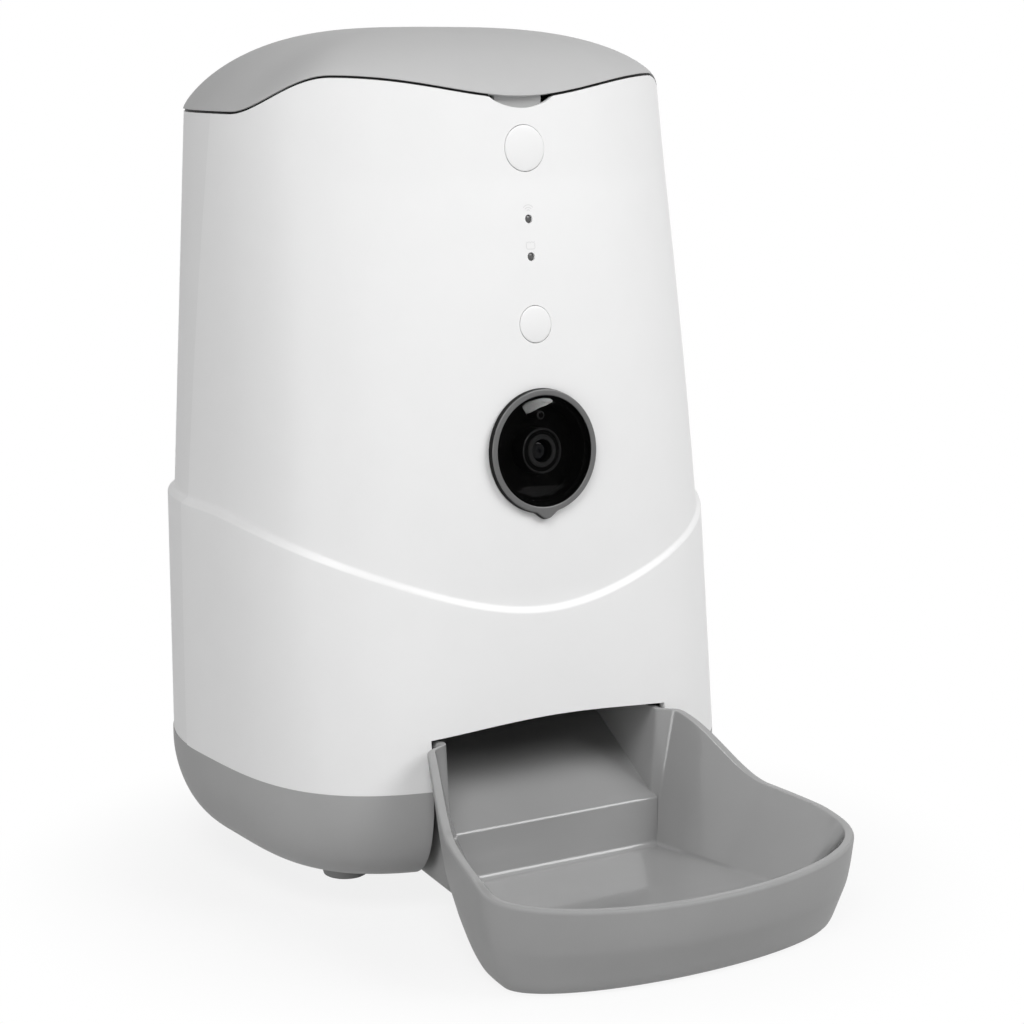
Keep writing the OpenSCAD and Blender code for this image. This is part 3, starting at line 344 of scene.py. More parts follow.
def lathe(bm, profile, place, steps=64, closed=False):
    """Round shape from a profile of radius and height, stood on a local frame."""
    edges = chain(bm, [(r, 0, z) for r, z in profile], closed)
    verts = list({v for e in edges for v in e.verts})
    bmesh.ops.spin(bm, geom=verts + edges, cent=(0, 0, 0), axis=(0, 0, 1), dvec=(0, 0, 0),
                   angle=2 * math.pi, steps=steps, use_merge=True)
    faces = {f for v in verts for f in v.link_faces}
    stack = list(faces)
    while stack:
        for e in stack.pop().edges:
            for f in e.link_faces:
                if f not in faces:
                    faces.add(f)
                    stack.append(f)
    verts = list({v for f in faces for v in f.verts})
    bmesh.ops.remove_doubles(bm, verts=verts, dist=1e-7)
    faces = [f for f in faces if f.is_valid]
    bmesh.ops.recalc_face_normals(bm, faces=faces)
    bmesh.ops.transform(bm, matrix=place, verts=list({v for f in faces for v in f.verts}))
    return faces


def block(bm, low, high, rounding=0.0):
    """Box between two corners, with rounded edges."""
    low, high = Vector(low), Vector(high)
    place = Matrix.Translation((low + high) / 2) @ Matrix.Diagonal((*(high - low), 1))
    verts = bmesh.ops.create_cube(bm, size=1, matrix=place)["verts"]
    if rounding:
        edges = list({e for v in verts for e in v.link_edges})
        soften(bm, edges, rounding)


def prism(bm, outline, along, depth):
    """Solid from a flat outline, pushed along a direction."""
    face = bmesh.ops.contextual_create(bm, geom=chain(bm, outline, True))["faces"][0]
    pushed = bmesh.ops.extrude_face_region(bm, geom=[face], use_keep_orig=True)["geom"]
    verts = [v for v in pushed if isinstance(v, bmesh.types.BMVert)]
    bmesh.ops.translate(bm, verts=verts, vec=Vector(along) * depth)
    faces = list({f for v in verts for f in v.link_faces} | {face})
    bmesh.ops.recalc_face_normals(bm, faces=faces)
    return faces


def soften(bm, edges, offset, segments=2):
    """Round edges off."""
    return bmesh.ops.bevel(bm, geom=list(edges), offset=offset, segments=segments, profile=0.5,
                           affect="EDGES", material=-1, clamp_overlap=True)


def sharp_edges(bm, limit=math.radians(45)):
    return [e for e in bm.edges if e.is_manifold and e.calc_face_angle(0.0) > limit]


def knots(edges):
    """Vertices along an open line of edges."""
    return [e.verts[0] for e in edges] + [edges[-1].verts[1]]


def punch(bm, grid, place, radius, room, surface):
    """Round hole in a skin of rows: a block of faces goes, and its edge is drawn in to a circle."""
    centre = place.translation
    middle = len(grid[0]) // 2
    rows = [row for row in grid if row[middle].is_valid and abs(row[middle].co.z - centre.z) < room]
    columns = [j for j, v in enumerate(rows[len(rows) // 2]) if abs(v.co.x - centre.x) < room]
    taken = {row[j] for row in rows for j in columns}
    gone = {f for v in taken for f in v.link_faces if all(w in taken for w in f.verts)}
    rim = list({e for f in gone for e in f.edges if sum(g in gone for g in e.link_faces) == 1})
    bmesh.ops.delete(bm, geom=list(gone), context="FACES")
    drawn = bmesh.ops.extrude_edge_only(bm, edges=rim)["geom"]
    for v in drawn:
        if isinstance(v, bmesh.types.BMVert):
            across, up = v.co.x - centre.x, v.co.z - centre.z
            scale = radius / math.hypot(across, up)
            v.co = (centre.x + across * scale, 0, centre.z + up * scale)
            v.co.y = surface(v.co.x, v.co.z)


def thicken(bm, wall):
    """Give an open skin with outward normals its wall, on the inside."""
    bmesh.ops.recalc_face_normals(bm, faces=bm.faces[:])
    bmesh.ops.solidify(bm, geom=bm.faces[:], thickness=wall)


def paint(bm, test):
    """First material on the faces that pass a test, second one on the others."""
    for f in bm.faces:
        f.material_index = 0 if test(f) else 1


def from_middle(f):
    """Distance of a face from the local axis."""
    return f.calc_center_median().to_2d().length


def piece(name, bm, materials, body, stands_for=(), weighted=True):
    """Finish a mesh as a piece that rides on a body of the frame."""
    for f in bm.faces:
        f.smooth = True
    for e in bm.edges:
        e.smooth = not e.is_manifold or e.calc_face_angle(0.0) < SHARP_ANGLE
    mesh = bpy.data.meshes.new(name)
    bm.to_mesh(mesh)
    bm.free()
    if not mesh.polygons:
        raise RuntimeError(f"{name} came out empty")
    for material in materials:
        mesh.materials.append(material)
    made = bpy.data.objects.new(name, mesh)
    bpy.context.scene.collection.objects.link(made)
    if weighted:
        made.modifiers.new("Even normals", "WEIGHTED_NORMAL").keep_sharp = True
    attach(made, body)
    if stands_for:
        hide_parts(*stands_for)
    return made


# Finishes

def set_sockets(node, **sockets):
    """Values of a node's sockets, by their names."""
    for socket, value in sockets.items():
        node.inputs[socket.replace("_", " ")].default_value = value


def add_node(nodes, kind, operation=None, **sockets):
    """New node with its operation and the values of its sockets."""
    node = nodes.new(kind)
    if operation:
        node.operation = operation
    set_sockets(node, **sockets)
    return node


def wire(tree, *ends):
    """Links, each given as node, output, node and input."""
    for source, output, target, entry in ends:
        tree.links.new(source.outputs[output], target.inputs[entry])


def grain_group():
    """Moulded plastic: fine grain in the surface and a faint mottle in colour and gloss."""
    name = "moulded grain"
    if name in bpy.data.node_groups:
        return bpy.data.node_groups[name]
    group = bpy.data.node_groups.new(name, "ShaderNodeTree")
    face = group.interface
    grey = (0.8, 0.8, 0.8, 1)
    for label, kind, value in (("Colour", "NodeSocketColor", grey), ("Roughness", "NodeSocketFloat", 0.5),
                               ("Grain scale", "NodeSocketFloat", 1200.0),
                               ("Grain height", "NodeSocketFloat", 0.00003),
                               ("Mottle", "NodeSocketFloat", 0.02)):
        face.new_socket(label, in_out="INPUT", socket_type=kind).default_value = value
    for label, kind in (("Colour", "NodeSocketColor"), ("Roughness", "NodeSocketFloat"),
                        ("Normal", "NodeSocketVector")):
        face.new_socket(label, in_out="OUTPUT", socket_type=kind)
    nodes = group.nodes
    given = nodes.new("NodeGroupInput")
    out = nodes.new("NodeGroupOutput")
    where = add_node(nodes, "ShaderNodeTexCoord")
    fine = add_node(nodes, "ShaderNodeTexNoise", Detail=3)
    broad = add_node(nodes, "ShaderNodeTexNoise", Scale=60, Detail=4)
    bump = add_node(nodes, "ShaderNodeBump", Strength=0.6)
    low = add_node(nodes, "ShaderNodeMath", "SUBTRACT", Value=1)
    high = add_node(nodes, "ShaderNodeMath", "ADD", Value=1)
    level = add_node(nodes, "ShaderNodeMapRange", From_Min=0.3, From_Max=0.7)
    coloured = add_node(nodes, "ShaderNodeVectorMath", "SCALE")
    glossed = add_node(nodes, "ShaderNodeMath", "MULTIPLY")
    wire(group, (where, "Object", fine, "Vector"), (where, "Object", broad, "Vector"),
         (given, "Grain scale", fine, "Scale"), (fine, "Fac", bump, "Height"),
         (given, "Grain height", bump, "Distance"), (given, "Mottle", low, 1), (given, "Mottle", high, 1),
         (broad, "Fac", level, "Value"), (low, 0, level, "To Min"), (high, 0, level, "To Max"),
         (given, "Colour", coloured, 0), (level, "Result", coloured, "Scale"),
         (given, "Roughness", glossed, 0), (level, "Result", glossed, 1), (coloured, 0, out, "Colour"),
         (glossed, 0, out, "Roughness"), (bump, "Normal", out, "Normal"))
    return group


def finish(name, colour, roughness, grain_scale, grain_height, mottle, **sockets):
    """Principled material with the moulded grain; further sockets by their names."""
    if name in bpy.data.materials:
        return bpy.data.materials[name]
    material = bpy.data.materials.new(name)
    material.use_nodes = True
    tree = material.node_tree
    shader = tree.nodes["Principled BSDF"]
    grain = tree.nodes.new("ShaderNodeGroup")
    grain.node_tree = grain_group()
    set_sockets(grain, Colour=(*colour, 1), Roughness=roughness, Grain_scale=grain_scale,
                Grain_height=grain_height, Mottle=mottle)
    wire(tree, (grain, "Colour", shader, "Base Color"), (grain, "Roughness", shader, "Roughness"))
    if grain_height:
        wire(tree, (grain, "Normal", shader, "Normal"))
    set_sockets(shader, **sockets)
    return material


def shell_finish(scene):
    return finish("satin white plastic", scene.feeder_finish.shell, 0.45, 1600, 0.00003, 0.006)


def cover_finish(scene):
    return finish("satin white cover plastic", scene.feeder_finish.cover, 0.45, 1600, 0.00003, 0.006)


def lid_finish(scene):
    return finish("matte grey lid plastic", scene.feeder_finish.lid, 0.55, 1500, 0.00004, 0.01,
                  Specular_IOR_Level=0.1)


def base_finish(scene):
    return finish("satin grey base plastic", scene.feeder_finish.base, 0.5, 1500, 0.00003, 0.015,
                  Specular_IOR_Level=0.1)


def bowl_finishes(scene):
    """Polished inside of the bowl and its finely grained outside."""
    colour = scene.feeder_finish.bowl
    inside = finish("polished grey bowl plastic", colour, 0.1, 1300, 0.000002, 0.01,
                    Specular_IOR_Level=0.5)
    outside = finish("grained grey bowl plastic", colour, 0.5, 1500, 0.00003, 0.015,
                     Specular_IOR_Level=0.15)
    return [inside, outside]


def black_finish():
    return finish("black moulding", (0.006, 0.006, 0.006), 0.5, 1500, 0.00002, 0.05,
                  Specular_IOR_Level=0.12)


# Rows of the white shells: share of the way along four bands from the base seam to the lid

SHELL_BANDS = (("mouth", 12), ("skirt", 24), ("ridge", 10), ("upper", 86))
SHELL_ROWS = [(band, i / count) for band, count in SHELL_BANDS for i in range(count)] + [("upper", 1.0)]
FRONT_COLUMNS = 50
SIDE_COLUMNS = 56
BACK_COLUMNS = 108
RING_COLUMNS = 240
COVER_INSET = 0.9965


def mouth_top(body, x):
    """Height of the arched top of the mouth, level beyond its ends."""
    half = body.mouth_width / 2
    bow = math.cos(math.pi / 2 * min(1.0, abs(x) / half))
    return body.mouth_z - body.mouth_arch + body.mouth_arch * bow


def notch(lid, x):
    """Depth of the scoop for the finger tab."""
    t = abs(x) / (lid.notch_width / 2)
    return lid.notch_drop * (1 - t * t) ** 0.8 if t < 1 else 0.0


def row_height(body, lid, row, a):
    """Height of a row of the shell in a direction."""
    band, t = row
    low = ridge_z(body, a) - body.ridge_height / 2
    high = low + body.ridge_height
    over_mouth = mouth_top(body, wall_point(body, a, body.mouth_z).x)
    if band == "mouth":
        return lerp(body.border_z, over_mouth, t)
    if band == "skirt":
        return lerp(over_mouth, low, t)
    if band == "ridge":
        return lerp(low, high, t)
    top = seam_z(lid, a)
    return lerp(high, top - body.seam_gap / 2 - notch(lid, wall_point(body, a, top).x), t)


def angle_where(body, lid, row, guess, test):
    """Direction in which a row meets a plane; test gives how far a point has gone past it."""
    return bisect(*guess, lambda a: test(wall_point(body, a, row_height(body, lid, row, a))) < 0)


def part_depth(body, z):
    """Depth of the parting line at a height."""
    foot, tall = 0.05, 0.237
    return ORIGIN_Y + body.part_y - body.part_lead * max(0.0, (z - foot) / tall) ** 2


def row_limits(body, lid, row):
    """Directions of the mouth's side and of the parting line on a row."""
    side = angle_where(body, lid, row, (0.1, 1.2), lambda p: p.x - body.mouth_width / 2)
    part = angle_where(body, lid, row, (1.4, 2.9), lambda p: p.y - part_depth(body, p.z))
    return side, part


def shell_row(body, lid, row, angles):
    return [wall_point(body, a, row_height(body, lid, row, a)) for a in angles]


def front_surface(body):
    """Depth of the upper shell's front at a place across and up."""
    def depth(x, z):
        half, ahead, _ = upper_section(body, z)
        n = corner(body, z)
        return ORIGIN_Y - ahead * (1 - (abs(x) / half) ** n) ** (1 / n)
    return depth


def hinge_place(body, lid):
    """Depth and height of the hinge axis, in the frame."""
    below, play = 0.0022, 0.0004
    z = lid.seam_back_z - below
    return ORIGIN_Y + upper_section(body, z)[2] + lid.knuckle / 2 + play, z


def knuckle(bm, lid, y, z, x0, x1):
    """Hinge knuckle as a tube along X."""
    play = 0.00004
    inner, outer = lid.pin / 2 + play, lid.knuckle / 2
    place = Matrix.Translation((x0, y, z)) @ Matrix.Rotation(math.pi / 2, 4, "Y")
    lip = 0.0004
    depth = x1 - x0
    profile = [(inner, 0), (outer - lip, 0), (outer, lip), (outer, depth - lip), (outer - lip, depth),
               (inner, depth)]
    lathe(bm, profile, place, 48, True)


class FEEDER_OT_shells(bpy.types.Operator):
    """Build the white front shell and the white back cover"""
    bl_idname = "feeder.shells"
    bl_label = "White shells"

    def execute(self, context):
        scene = context.scene
        body, lid, panel = scene.feeder_body, scene.feeder_lid, scene.feeder_panel
        limits = [row_limits(body, lid, row) for row in SHELL_ROWS]
        self.front_shell(scene, body, lid, panel, limits)
        self.back_cover(scene, body, lid, limits)
        return {"FINISHED"}

    def front_shell(self, scene, body, lid, panel, limits):
        bm = bmesh.new()
        rows = []
        for row, (side, part) in zip(SHELL_ROWS, limits):
            right = spaced(side, part, SIDE_COLUMNS)[1:]
            angles = [-a for a in reversed(right)] + spaced(-side, side, FRONT_COLUMNS) + right
            rows.append(shell_row(body, lid, row, angles))
        grid = [knots(edges) for edges in loft(bm, rows)]
        half = body.mouth_width / 2
        surface = front_surface(body)
        gap = panel.button_gap
        button_room, light_room, camera_room = 0.0104, 0.0042, 0.0245
        for z, width, room in ((panel.feed_z, panel.feed_width + 2 * gap, button_room),
                               (panel.function_z, panel.function_width + 2 * gap, button_room),
                               (panel.upper_light_z, panel.light_width + gap, light_room),
                               (panel.lower_light_z, panel.light_width + gap, light_room),
                               (panel.camera_z, panel.window_width, camera_room)):
            punch(bm, grid, front_frame(body, z), width / 2, room, surface)
        middles = [(f, f.calc_center_median()) for f in bm.faces]
        mouth = [f for f, at in middles
                 if at.y < ORIGIN_Y and abs(at.x) < half and at.z < mouth_top(body, at.x)]
        bmesh.ops.delete(bm, geom=mouth, context="FACES")
        thicken(bm, body.wall)
        soften(bm, sharp_edges(bm), body.edge_round)
        board = front_frame(body, (panel.feed_z + panel.function_z) / 2)
        post_x, post_r, deep, near = 0.0095, 0.003, -0.013, -0.0015
        for side in (-1, 1):
            place = board @ Matrix.Translation((side * post_x, 0, 0))
            lathe(bm, [(0, deep), (post_r, deep), (post_r, near), (0, near)], place, 32)
        piece("white_front_shell", bm, [shell_finish(scene)], "housing", ["front_shell"])

    def back_cover(self, scene, body, lid, limits):
        bm = bmesh.new()
        rows = []
        for row, (_, part) in zip(SHELL_ROWS, limits):
            skin = shell_row(body, lid, row, spaced(part, 2 * math.pi - part, BACK_COLUMNS))
            rows.append([Vector((p.x * COVER_INSET, p.y, p.z)) for p in skin])
        loft(bm, rows)
        thicken(bm, body.wall)
        soften(bm, sharp_edges(bm), body.edge_round)
        y, z = hinge_place(body, lid)
        half = lid.hinge_length / 4
        knuckle(bm, lid, y, z, -half, half)
        low = (-half, y - lid.knuckle / 2 - 0.0016, z - lid.knuckle / 2)
        block(bm, low, (half, y - lid.pin / 2 - 0.0004, z), 0.0003)
        post_x, post_y, post_r = 0.032, 0.0776, 0.0035
        for x in (-post_x, post_x):
            for post_z, length in ((0.088, 0.009), (0.142, 0.0068)):
                place = Matrix.Translation((x, ORIGIN_Y + post_y, post_z))
                lathe(bm, [(0, 0), (post_r, 0), (post_r, length), (0, length)],
                      place @ Matrix.Rotation(-math.pi / 2, 4, "X"), 32)
        piece("white_back_cover", bm, [cover_finish(scene)], "housing", ["back_cover"])


def base_draw(body, z, a=math.pi):
    """How far the rounding draws the base in at a height: fuller beside the mouth than round the sides."""
    power = lerp(2.4, 1.8, ease((turn(a) - MOUTH_ANGLE) / (math.pi / 2 - MOUTH_ANGLE)))
    t = min(1.0, max(0.0, (body.base_z + body.base_round - z) / body.base_round))
    return body.base_inset * (1 - (1 - t ** power) ** (1 / power))


def base_point(body, a, z):
    section = shrink((body.width / 2, body.front, body.back), base_draw(body, z, a))
    return rim_point(section, BASE_CORNER, a, z)


class FEEDER_OT_base(bpy.types.Operator):
    """Build the grey base with its bowl pocket"""
    bl_idname = "feeder.base"
    bl_label = "Grey base"

    def execute(self, context):
        scene = context.scene
        body, bowl = scene.feeder_body, scene.feeder_bowl
        half = body.mouth_width / 2
        pocket_y = ORIGIN_Y - 0.037 + 0.0003
        levels = [body.base_z + body.base_round * (1 - math.cos(t) ** (2 / 1.8))
                  for t in spaced(0, math.pi / 2, 22)] + [body.border_z]
        bm = bmesh.new()
        rows = []
        for z in levels:
            edge = bisect(0.1, 1.4, lambda a: base_point(body, a, z).x < half)
            rows.append([base_point(body, a, z) for a in spaced(edge, 2 * math.pi - edge, RING_COLUMNS)])
        grid = [knots(edges) for edges in loft(bm, rows)]
        surface = self.back_surface(body)
        inlet_z, inlet_r, inlet_room = 0.03, 0.0042, 0.0085
        place = Matrix.Translation((0, surface(0, inlet_z), inlet_z)) @ Matrix.Rotation(-math.pi / 2, 4, "X")
        punch(bm, grid, place, inlet_r, inlet_room, surface)
        for end, x in ((0, half), (-1, -half)):
            corners = [Vector((x, pocket_y, z)) for z in (body.border_z, body.base_z)]
            chain(bm, [row[end] for row in rows] + corners, True)
        chain(bm, [rows[0][0], *[Vector((x, pocket_y, body.base_z)) for x in (half, -half)], rows[0][-1]])
        chain(bm, [Vector((x, pocket_y, body.border_z)) for x in (half, -half)])
        bmesh.ops.remove_doubles(bm, verts=bm.verts[:], dist=1e-6)
        self.close_pocket(bm, body, half, pocket_y)
        thicken(bm, body.wall)
        soften(bm, sharp_edges(bm), body.edge_round)
        rail_top = 0.0192
        for side in (-1, 1):
            inner = side * (bowl.neck_width / 2 - 0.006 + 0.0007)
            outer = side * (half + 0.001)
            low = (min(inner, outer), ORIGIN_Y - 0.07, body.base_z)
            block(bm, low, (max(inner, outer), pocket_y, rail_top), 0.0004)
        for x, y in FOOT_PLACES:
            place = Matrix.Translation((x, ORIGIN_Y + y, 0))
            lathe(bm, [(0, 0.006), (0.0096, 0.006), (0.01, 0.0064), (0.01, 0.0145), (0, 0.0145)], place, 48)
        piece("grey_base", bm, [base_finish(scene)], "housing", ["base_housing"])
        return {"FINISHED"}

    def close_pocket(self, bm, body, half, pocket_y):
        """Faces of the pocket's sides and back, and the flat underside."""
        tests = (lambda p: abs(p.x - half) < 1e-5, lambda p: abs(p.x + half) < 1e-5,
                 lambda p: abs(p.y - pocket_y) < 1e-5, lambda p: abs(p.z - body.base_z) < 1e-5)
        for test in tests:
            edges = [e for e in bm.edges if all(test(v.co) for v in e.verts)]
            bmesh.ops.edgenet_fill(bm, edges=edges)

    def back_surface(self, body):
        def depth(x, z):
            half, _, back = shrink((body.width / 2, body.front, body.back), base_draw(body, z))
            return ORIGIN_Y + back * (1 - (abs(x) / half) ** BACK_CORNER) ** (1 / BACK_CORNER)
        return depth


class FEEDER_OT_lid(bpy.types.Operator):
    """Build the grey domed lid with its finger tab and hinge arms"""
    bl_idname = "feeder.lid"
    bl_label = "Grey lid"

    def execute(self, context):
        scene = context.scene
        body, lid = scene.feeder_body, scene.feeder_lid
        bm = bmesh.new()
        shares = [math.cos(t) ** 0.6 for t in spaced(0, math.pi / 2 - 0.02, 44)]
        angles = spaced(0, 2 * math.pi, RING_COLUMNS)[:-1]
        rows = [[self.dome_point(body, lid, a, s) for a in angles] for s in shares]
        chains = loft(bm, rows, True)
        bmesh.ops.edgenet_fill(bm, edges=chains[-1])
        thicken(bm, body.wall)
        soften(bm, sharp_edges(bm), 0.0006, 3)
        half = lid.tab_width / 2
        tab_y = ORIGIN_Y - upper_section(body, lid.seam_front_z)[1] + lid.tab_inset
        low = lid.seam_front_z - lid.tab_drop + 0.0002
        block(bm, (-half, tab_y, low), (half, tab_y + body.wall, lid.seam_front_z + 0.003), 0.0005)
        self.hinge_arms(bm, body, lid)
        grey = set(bm.faces)
        # Black strip in the seam gap under the lid: painted shade.
        self.gap_shade_strip(bm, body, lid)
        paint(bm, lambda f: f in grey)
        piece("grey_lid", bm, [lid_finish(scene), black_finish()], "lid", ["lid_shell"])
        return {"FINISHED"}

    def gap_shade_strip(self, bm, body, lid):
        """Black strip under the lid's edge that paints the shade in the gap, open round the finger tab."""
        start = math.atan2(lid.notch_width / 2, upper_section(body, lid.seam_front_z)[1])
        near, far, drop = 0.0007, 0.0018, 0.8 * body.seam_gap
        sections = []
        for a in spaced(start, 2 * math.pi - start, RING_COLUMNS):
            low = seam_z(lid, a) + body.seam_gap / 2
            full = reach(upper_section(body, low), corner(body, low), a)
            line = ((full - near, 0), (full - near, -drop), (full - far, -drop), (full - far, 0))
            sections.append([Vector((r * math.sin(a), ORIGIN_Y - r * math.cos(a), low + z)) for r, z in line])
        chains = loft(bm, sections, True)
        for end in (chains[0], chains[-1]):
            bmesh.ops.contextual_create(bm, geom=end)
        strip = list({f for edges in chains for e in edges for f in e.link_faces})
        bmesh.ops.recalc_face_normals(bm, faces=strip)

    def dome_point(self, body, lid, a, s):
        low = seam_z(lid, a) + body.seam_gap / 2
        r = s * reach(upper_section(body, low), corner(body, low), a)
        rise = (1 - s ** 3) ** (1 / 1.3)
        return Vector((r * math.sin(a), ORIGIN_Y - r * math.cos(a), lerp(low, lid.top_z, rise)))

    def hinge_arms(self, bm, body, lid):
        y, z = hinge_place(body, lid)
        length = lid.hinge_length / 4
        arm_y = ORIGIN_Y + upper_section(body, z)[2] - body.wall
        low = lid.seam_back_z + body.seam_gap / 2 + 0.0003
        side_line = ((arm_y, low), (y - lid.knuckle / 2 - 0.0001, low), (y - 0.0005, z + 0.002),
                     (y + lid.knuckle / 3, z + 0.0024), (y + 0.0004, z + 0.0064), (arm_y, z + 0.008))
        for side in (-1, 1):
            middle = side * (1.5 * length + 0.0002)
            knuckle(bm, lid, y, z, middle - length / 2, middle + length / 2)
            faces = prism(bm, [(middle - length / 2, v, w) for v, w in side_line], (1, 0, 0), length)
            soften(bm, {e for f in faces for e in f.edges}, 0.0004)


class BowlShape:
    """Lines of the bowl, measured back and forth in the frame."""

    def __init__(self, bowl, body):
        self.bowl = bowl
        self.neck_half = bowl.neck_width / 2
        self.tray_half = bowl.tray_width / 2
        self.tray_y = ORIGIN_Y - bowl.reach + bowl.nose
        self.neck_y = ORIGIN_Y + 0.0037 - body.front
        self.shoulder_y = self.neck_y - 0.001
        self.rebate_y = self.neck_y + 0.02
        self.back_y = self.rebate_y + 0.033
        self.ledge_y = self.neck_y - 0.0035
        self.step_y = self.ledge_y - 0.0022
        self.ramp_hollow_y = self.ledge_y + 0.008
        self.tray_hollow_y = self.tray_y + 0.0325

    def shoulder(self, y):
        """How far the outline has stepped out beside the ledge, with soft corners."""
        soft = 0.2
        t = (self.shoulder_y - y) / (self.shoulder_y - self.ledge_y)
        return self.bowl.shoulder * (math.hypot(t, soft) - math.hypot(t - 1, soft) + 1) / 2

    def half_width(self, y):
        """Half width of the outline: straight neck, shoulder, then the flare of the tray."""
        t = min(1.0, max(0.0, (self.ledge_y - y) / (self.ledge_y - self.tray_y)))
        flare = self.tray_half - self.neck_half - self.bowl.shoulder
        return self.neck_half + self.shoulder(y) + flare * (1 - (1 - t) ** 1.4)

    def floor_inset(self, y):
        """How far the floor's edge lies inside the outline: the walls lean in more round the tray."""
        bowl = self.bowl
        t = min(1.0, max(0.0, (self.ledge_y - y) / 0.062))
        return bowl.wall + bowl.neck_lean + self.shoulder(y) + bowl.tray_lean * (1 - (1 - t) ** 1.6)

    def ramp_z(self, y):
        bowl = self.bowl
        return min(bowl.ledge_z + bowl.ramp_slope * (y - self.ledge_y), bowl.rim_neck_z - 0.006)

    def bed(self, y):
        """Inset and height of the edge of the bed: the tray floor, then hidden in the ramp."""
        z = self.bowl.floor_z
        if y > self.ledge_y + 0.004:
            z = self.ramp_z(y) - 0.002
        rim = self.rim_z(y)
        return lerp(self.bowl.wall, self.floor_inset(y), (rim - z) / (rim - self.bowl.floor_z)), z

    def hollow(self, station):
        """Inset and height of the hollow's roof under the tray and under the ramp."""
        y = self.depth(station)
        if station[0] < self.tray_hollow_y:
            return 0.014, self.bowl.floor_z - self.bowl.wall
        inset = self.half_width(y) - (self.neck_half - 0.006 - self.bowl.wall)
        if self.ramp_hollow_y < y < self.back_y - self.bowl.wall:
            return inset, self.ramp_z(y) - self.bowl.wall - 0.002
        return inset if y > self.neck_y else 0.014, self.low_z(y) + 0.0001

    def rim_z(self, y):
        front = ORIGIN_Y - self.bowl.reach
        tray = self.bowl.rim_front_z + 0.14 * (y - front)
        tray -= self.bowl.nose_drop * ease((self.tray_y + 0.012 - y) / 0.02)
        return lerp(self.bowl.rim_neck_z, tray, ease((self.neck_y + 0.003 - y) / 0.044))

    def low_z(self, y):
        rise = 0.13 * min(0.0235, max(0.0, y - self.ledge_y))
        return lerp(self.bowl.ground, 0.0086, ease((y - self.tray_y - 0.012) / 0.042)) + rise

    def stations(self):
        """Places along the outline: depth of the side, and the turn round the nose."""
        bend = 0.006
        neck = spaced(self.back_y, self.rebate_y, 8)
        neck += spaced(self.rebate_y - 0.0004, self.neck_y + 0.001, 12)
        bent = spaced(self.neck_y + 0.001, self.neck_y - bend, 48)[1:]
        flare = bent + spaced(self.neck_y - bend, self.tray_y, 40)[1:-1]
        nose = [(self.tray_y, t) for t in spaced(0, math.pi / 2, 40)]
        ends = []
        for y in (self.tray_hollow_y, self.ramp_hollow_y, self.back_y - self.bowl.wall,
                  self.ledge_y + 0.004):
            ends += [y - 0.00005, y + 0.00005]
        sides = sorted(neck + flare + ends, reverse=True)
        return [(y, 0.0) for y in sides] + nose

    def point(self, station, inset, z, side):
        y, t = station
        if t == 0:
            return Vector((side * (self.half_width(y) - inset), y, z))
        return Vector((side * (self.tray_half - inset) * math.cos(t),
                       self.tray_y - (self.bowl.nose - inset) * math.sin(t), z))

    def depth(self, station):
        return station[0] - self.bowl.nose * math.sin(station[1])

    def outward(self, at):
        """Level direction away from the bowl's middle: sideways, and forwards round the nose."""
        if at.y > self.tray_y:
            return Vector((math.copysign(1, at.x), 0, 0))
        ahead = at.y - self.tray_y
        return Vector((at.x / self.tray_half ** 2, ahead / self.bowl.nose ** 2, 0)).normalized()


